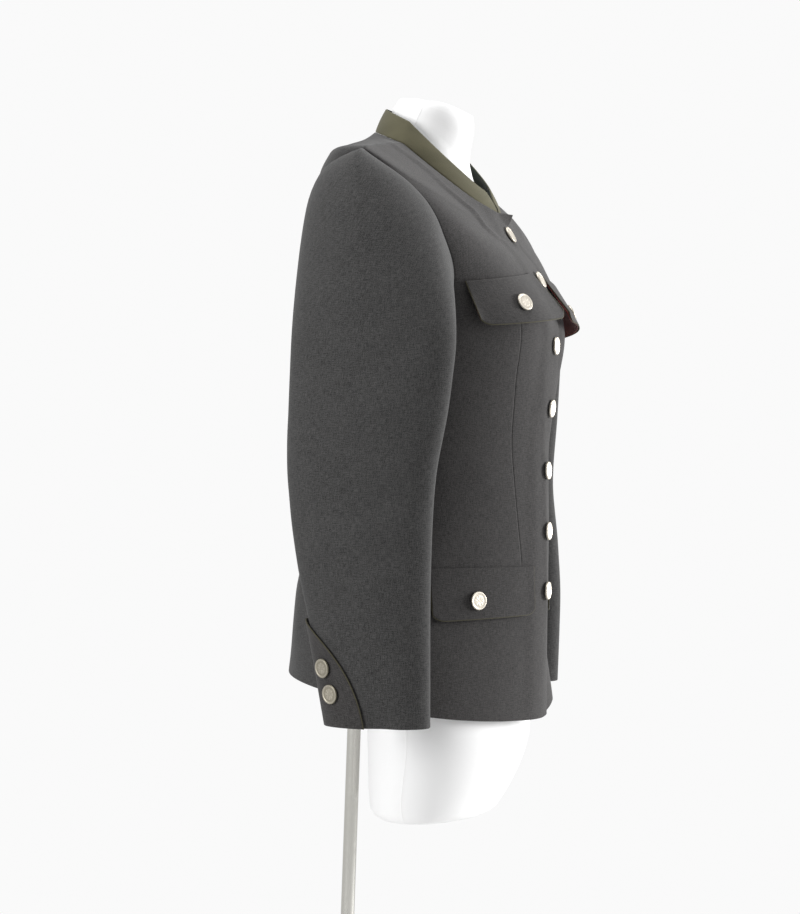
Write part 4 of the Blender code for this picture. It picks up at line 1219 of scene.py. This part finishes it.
chrome = hard_material("chrome", (.62, .61, .57), 1.0, .20, 160, .10, .00002)
shell_white = hard_material("shell_white", (.93, .93, .93), 0.0, .58, 900, .08, .00003)
pewter = hard_material("pewter", (.74, .69, .61), 1.0, .46, 1500, .20, .00003, (.24, .22, .17))
print("hard finishes: chrome, shell_white, pewter")

# %% [markdown]
# ## Buttons
# A trachten button is a cast metal disc with a raised rim and a low pattern. What these show can't
# be read in the photograph, so the relief is plain: a rosette of eight petals within a roped rim.
# Each button is a polar grid whose height is a sum of simple bumps, which keeps the rim sharp.

# %% Shape of a button
BUTTON_RADIUS = 0.0100
BUTTON_TALL = 0.0030
BUTTON_FOOT = 0.0086
BUTTON_RIM = 0.0097
BUTTON_BELLY = 0.0012
BUTTON_GAP = 0.0005
BUTTON_SPOKES = 96
BUTTON_ROWS = 34
GROUND = 0.0026
BOSS_LIFT = 0.00016
BOSS_WIDTH = 0.0011
PETALS = 8
PETAL_START = 0.0012
PETAL_END = 0.0062
PETAL_FADE = 0.0012
PETAL_POWER = 0.6
BEAD_LIFT = 0.00004
BEAD_RADIUS = 0.0071
BEAD_WIDTH = 0.0003
RIM_START = 0.0077
RIM_FADE = 0.0006
RIM_LIFT = 0.0003
ROPE_LIFT = 0.00005
ROPE_TURNS = 32
ROPE_SLANT = 0.00035
SUNK_LEVEL = 0.0027
SUNK_FADE = 0.0002
SUNK_MOST = 0.4
WALL_SUNK = 0.3
BUTTON_WALL = (
    # radius, height
    (BUTTON_RIM - 0.0001, BUTTON_TALL - 0.0002),
    (BUTTON_RIM + 0.0002, 0.0021),
    (BUTTON_RADIUS, BUTTON_BELLY),
    (.0096, .0004),
    (BUTTON_FOOT, 0.0),
)


def bell(value, middle, width):
    return np.exp(-((value - middle) / width) ** 2)


def button_face(radius, angle):
    """Height of the button's face: a boss, petals, a bead ring and a roped rim on a flat ground."""
    petal = np.abs(np.cos(PETALS * angle / 2)) ** PETAL_POWER
    for past in (radius - PETAL_START, PETAL_END - radius):
        petal = petal * smooth(past / PETAL_FADE)
    rope = RIM_LIFT + ROPE_LIFT * np.cos(ROPE_TURNS * angle + radius / ROPE_SLANT)
    boss = BOSS_LIFT * (bell(radius, 0.0, BOSS_WIDTH) + petal)
    return (GROUND + boss + BEAD_LIFT * bell(radius, BEAD_RADIUS, BEAD_WIDTH)
            + rope * smooth((radius - RIM_START) / RIM_FADE))


def button_points():
    """Rings of (radius, angle, height, hollow) from the middle of the face round to the back."""
    angles = 2 * math.pi * np.arange(BUTTON_SPOKES) / BUTTON_SPOKES
    rings = []
    for radius in np.linspace(0.0002, BUTTON_RIM - 0.0004, BUTTON_ROWS):
        height = button_face(radius, angles)
        sunk = SUNK_MOST * np.clip((SUNK_LEVEL - height) / SUNK_FADE, 0, 1)
        rings.append((radius + 0 * angles, angles, height, sunk))
    for radius, height in BUTTON_WALL:
        rings.append((radius + 0 * angles, angles, height + 0 * angles, WALL_SUNK + 0 * angles))
    return np.array(rings)


BUTTON_RINGS = button_points()


def make_button(side, name, seat, normal, darkening=0.0):
    """A button on its seat, with its face along the normal; the last argument makes the whole button darker,
    in the colour of its hollows.
    """
    normal = unit(normal)
    first = unit(np.cross(normal, [0.0, 0.0, 1.0]))
    second = np.cross(normal, first)
    radius, angle, height, sunk = [BUTTON_RINGS[:, part] for part in range(4)]
    spoke = np.cos(angle)[..., None] * first + np.sin(angle)[..., None] * second
    points = seat + spoke * radius[..., None] + normal * (height + BUTTON_GAP)[..., None]
    faces = [face[::-1] for face in ring_faces(numbered(len(BUTTON_RINGS), BUTTON_SPOKES))]
    piece = add_mesh(f"{name}_metal", points, faces, [pewter], side)
    mark = piece.data.attributes.new("hollow", "FLOAT", "POINT")
    mark.data.foreach_set("value", (darkening + sunk).astype(np.float32).ravel())
    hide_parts(name)


# %% Buttons on the front, the flaps and the cuffs
FRONT_BUTTON_HEIGHTS = (1.296, 1.245, 1.173, 1.104, 1.035, 0.968, 0.902)
# The cuff buttons are made darker all over, in the colour of the hollows.
CUFF_DARKENING = 0.55
NEAR_ACROSS = 0.08
NEAR_DOWN = 0.20
CUFF_BUTTONS = (
    # height above the cuff's edge, angle round the sleeve
    (.060, math.radians(314)),
    (.034, math.radians(320)),
)


def make_flap_button(side, name, flap, has_lining):
    share, down = flap["button"]
    point, front_normal = flap_point(side, flap, share, down)
    beside = flap_point(side, flap, share + NEAR_ACROSS, down)[0]
    below = flap_point(side, flap, share, down + NEAR_DOWN)[0]
    above = flap_point(side, flap, share, down - NEAR_DOWN)[0]
    cloth = FLAP_CLOTH + (FLAP_LINING + SEAM if has_lining else 0.0)
    make_button(side, name, point + front_normal * cloth, np.cross(beside - point, above - below))


for number, height in enumerate(FRONT_BUTTON_HEIGHTS, 1):
    rise = rise_at(np.float64(height), 0.0)
    seat = front_surface(RIGHT, np.float64(0.0), rise)[0]
    above = body_point(0.0, rise + BUTTON_RADIUS)
    below = body_point(0.0, rise - BUTTON_RADIUS)
    level = unit(np.cross([1.0, 0.0, 0.0], above - below))
    make_button(LEFT, f"front_button_{number}", seat + level * SEAM, level)
for side, word in SIDES:
    for place, flap, has_lining in POCKETS:
        make_flap_button(side, f"{place}_button_{word}", flap, has_lining)
    for number, (height, angle) in enumerate(CUFF_BUTTONS, 1):
        at = (side, np.float64(angle), np.float64(SLEEVE_DROP - height))
        normal = sleeve_normal(*at)
        seat = hanging_point(*at) + normal * (TAB_LIFT + FLAP_CLOTH)
        make_button(side, f"cuff_button_{word}_{number}", seat, normal, CUFF_DARKENING)
print("buttons of", len(BUTTON_RINGS) * BUTTON_SPOKES, "points each")

# %% [markdown]
# ## Dress form
# The limbless form is one smooth moulded shell with a neck and no arms. It comes from its own table
# of rings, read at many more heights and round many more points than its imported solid. The faint
# line down its side is where the halves of its mould met.

# %% Form
FORM = np.array([
    # rise side_x side_y  side_z front_y front_z back_y back_z prow flank haunch seat  slope
    (.000, .060, -.044, .651, -.078, .651, -.009, .651, .55, .55, .55, .55, .00),  # underside
    (.015, .103, -.044, .652, -.101, .652, .014, .652, .55, .55, .55, .55, .00),
    (.030, .114, -.044, .662, -.111, .662, .024, .662, .55, .55, .55, .55, .00),
    (.120, .140, -.058, .750, -.145, .750, .024, .750, .50, .55, .55, .55, .00),
    (.220, .148, -.054, .850, -.145, .850, .031, .850, .48, .52, .55, .55, .00),  # hip
    (.320, .136, -.052, .950, -.136, .950, .029, .950, .50, .55, .55, .55, .00),
    (.420, .125, -.052, 1.050, -.134, 1.050, .024, 1.050, .52, .55, .55, .55, .00),  # waist
    (.490, .136, -.050, 1.120, -.144, 1.120, .040, 1.120, .55, .55, .55, .55, .00),
    (.550, .148, -.047, 1.175, -.154, 1.175, .056, 1.180, .55, .55, .55, .55, .00),  # bust
    (.610, .152, -.044, 1.235, -.148, 1.220, .062, 1.250, .55, .55, .55, .55, .00),
    (.665, .154, -.038, 1.290, -.134, 1.252, .056, 1.305, .55, .55, .55, .60, .00),
    (.715, .156, -.032, 1.338, -.124, 1.276, .044, 1.350, .55, .52, .55, .60, .15),
    (.740, .153, -.029, 1.363, -.119, 1.288, .036, 1.367, .55, .50, .55, .58, .30),
    (.765, .141, -.029, 1.3810, -.1165, 1.297, .031, 1.382, .55, .48, .55, .55, .42),  # shoulder
    (.795, .115, -.030, 1.3850, -.1140, 1.304, .024, 1.3960, .55, .50, .55, .52, .52),
    (.834, .080, -.032, 1.3880, -.1100, 1.3110, .0160, 1.4070, .55, .55, .55, .50, .55),
    (.860, .056, -.034, 1.3945, -.0960, 1.3300, .0080, 1.4200, .55, .55, .55, .50, .50),  # neck
    (.890, .049, -.036, 1.4200, -.0800, 1.3800, .0060, 1.4420, .55, .55, .55, .55, .15),
    (.930, .046, -.043, 1.4380, -.0855, 1.4200, .0000, 1.4520, .55, .55, .55, .55, .00),
    (.945, .043, -.044, 1.4450, -.0845, 1.4330, -.0040, 1.4560, .55, .55, .55, .55, .00),
    (.960, .020, -.045, 1.4480, -.0640, 1.4430, -.0250, 1.4550, .55, .55, .55, .55, .00),  # top
])
FORM_ROWS = 130
MOULD_LINE = 0.0004
MOULD_WIDE = 0.006
NEAR_SIDE = (0.97, 0.985, 0.993, 0.997, 1.0, 1.003, 1.007, 1.015, 1.03)


def make_form():
    turns = np.concatenate([np.linspace(0, 0.94, 24), NEAR_SIDE, np.linspace(1.06, 2, 24)])
    rises = np.unique(np.concatenate([np.linspace(0, FORM[-1, 0], FORM_ROWS), FORM[:, 0]]))
    rings = []
    for rise in rises:
        left = ring_point(FORM, turns, np.full_like(turns, rise))
        left[:, 0] += MOULD_LINE * bell(turns, 1.0, MOULD_WIDE)
        rings.append(np.concatenate([left, left[1:-1][::-1] * np.array([-1, 1, 1])]))
    points = np.array(rings)
    faces = ring_faces(numbered(*points.shape[:2]))
    return add_mesh("form_body", points, faces, [shell_white])


form = make_form()
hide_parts("form")
print("form with", len(form.data.polygons), "faces")

# %% [markdown]
# ## Stand
# The form stands on a slim steel pole that leans back a little and ends in a plain round plate. The
# photograph stops short of the plate, so its size is a usual one. The saddle between pole and form
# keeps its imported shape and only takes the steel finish.

# %% Pole, base and bracket
POLE_RADIUS = 0.0078
POLE_LOW = np.array([0.0, 0.0837, 0.0083])
POLE_TOP = np.array([0.0, 0.0500, 0.9000])
BASE_PROFILE = np.array([
    # radius height
    (.1690, .0000),
    (.1697, .0003),
    (.1700, .0010),
    (.1700, .0060),
    (.1698, .0069),
    (.1692, .0076),
    (.1684, .0080),
    (.1200, .0080),
    (.0200, .0080),
])
ROUND_SIDES = 96
SHARP = math.radians(35)
POLE_ROWS = 12


def make_round(name, rings, node):
    """Rings of (centre, radius), lowest first, joined into a closed body."""
    angles = 2 * math.pi * np.arange(ROUND_SIDES) / ROUND_SIDES
    circle = np.stack([np.cos(angles), np.sin(angles), 0 * angles], axis=-1)
    points = np.array([centre + circle * radius for centre, radius in rings])
    piece = add_mesh(name, points, ring_faces(numbered(*points.shape[:2])), [chrome])
    piece.data.set_sharp_from_angle(angle=SHARP)
    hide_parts(node)


pole_way = POLE_TOP - POLE_LOW
pole_shares = [*np.linspace(0, 0.997, POLE_ROWS), 0.9985, 1.0]
pole_radii = [POLE_RADIUS] * POLE_ROWS + [POLE_RADIUS - 0.0003, POLE_RADIUS - 0.0014]
pole_rings = [(POLE_LOW + pole_way * share, radius) for share, radius in zip(pole_shares, pole_radii)]
make_round("pole_tube", pole_rings, "pole")
make_round("base_plate", [(np.array([0, 0, height]), radius) for radius, height in BASE_PROFILE], "base")
bracket = frame["nodes"]["bracket"]
for slot in bracket.material_slots:
    slot.material = chrome
print("pole", round(float(np.linalg.norm(pole_way)), 3), "m long")

# %% [markdown]
# ## Which solid each piece stands for, and the cloth's cut
# Every panel hides its imported solid and rides with the part. The table also gives each one's slot,
# how it is held and the size of the cloth it was cut from. A panel isn't a rectangle, so its own area
# is given too.

CUTS = (
    # piece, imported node, slot, how it is held, flat width, flat length, area
    ("collar_cloth", "collar", "olive_cloth", "hung", 0.50, 0.030, 0.0121),
    ("front_{}_cloth", "front_{}", "wool", "hung", 0.30, 0.67, 0.1495),
    ("back_{}_cloth", "back_{}", "wool", "hung", 0.26, 0.66, 0.1300),
    ("upper_sleeve_{}_cloth", "upper_sleeve_{}", "wool", "hung", 0.28, 0.62, 0.1353),
    ("under_sleeve_{}_cloth", "under_sleeve_{}", "wool", "hung", 0.16, 0.48, 0.0562),
    ("chest_flap_satin_{}", "chest_flap_lining_{}", "lining", "laid", 0.150, 0.060, 0.0074),
    ("chest_flap_{}_cloth", "chest_flap_{}", "wool", "laid", 0.150, 0.060, 0.0075),
    ("hip_flap_{}_cloth", "hip_flap_{}", "wool", "laid", 0.150, 0.056, 0.0077),
    ("cuff_tab_{}_cloth", "cuff_tab_{}", "wool", "laid", 0.080, 0.110, 0.0065),
)
cloth_cuts = []
for piece, node, *rest in CUTS:
    for word in ("right", "left") if "{}" in piece else ("",):
        cloth_cuts.append((piece.format(word), node.format(word), *rest))
for name, node, slot, held, width, length, area in cloth_cuts:
    piece = bpy.data.objects[name]
    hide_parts(node)
print(len(cloth_cuts), "sheets of cloth")

# %% [markdown]
# ## Floor
# A pale round floor, the same white as the room, lies under the base. It isn't part of the object.

# %% Floor
FLOOR_RADIUS = 2.1
FLOOR_LEVEL = -0.0005
floor_angles = 2 * math.pi * np.arange(ROUND_SIDES) / ROUND_SIDES
floor_points = FLOOR_RADIUS * np.stack([np.cos(floor_angles), np.sin(floor_angles), 0 * floor_angles], -1)
floor_points[:, 2] = FLOOR_LEVEL
floor_mesh = bpy.data.meshes.new("floor")
floor_mesh.from_pydata(floor_points.tolist(), [], [list(range(ROUND_SIDES))])
floor = link(bpy.data.objects.new("floor", floor_mesh))
floor_paint = hard_material("floor_paint", (.80, .80, .80), 0.0, .70, 40, .10, .00005)
floor_mesh.materials.append(floor_paint)
print("floor", 2 * FLOOR_RADIUS, "m across")
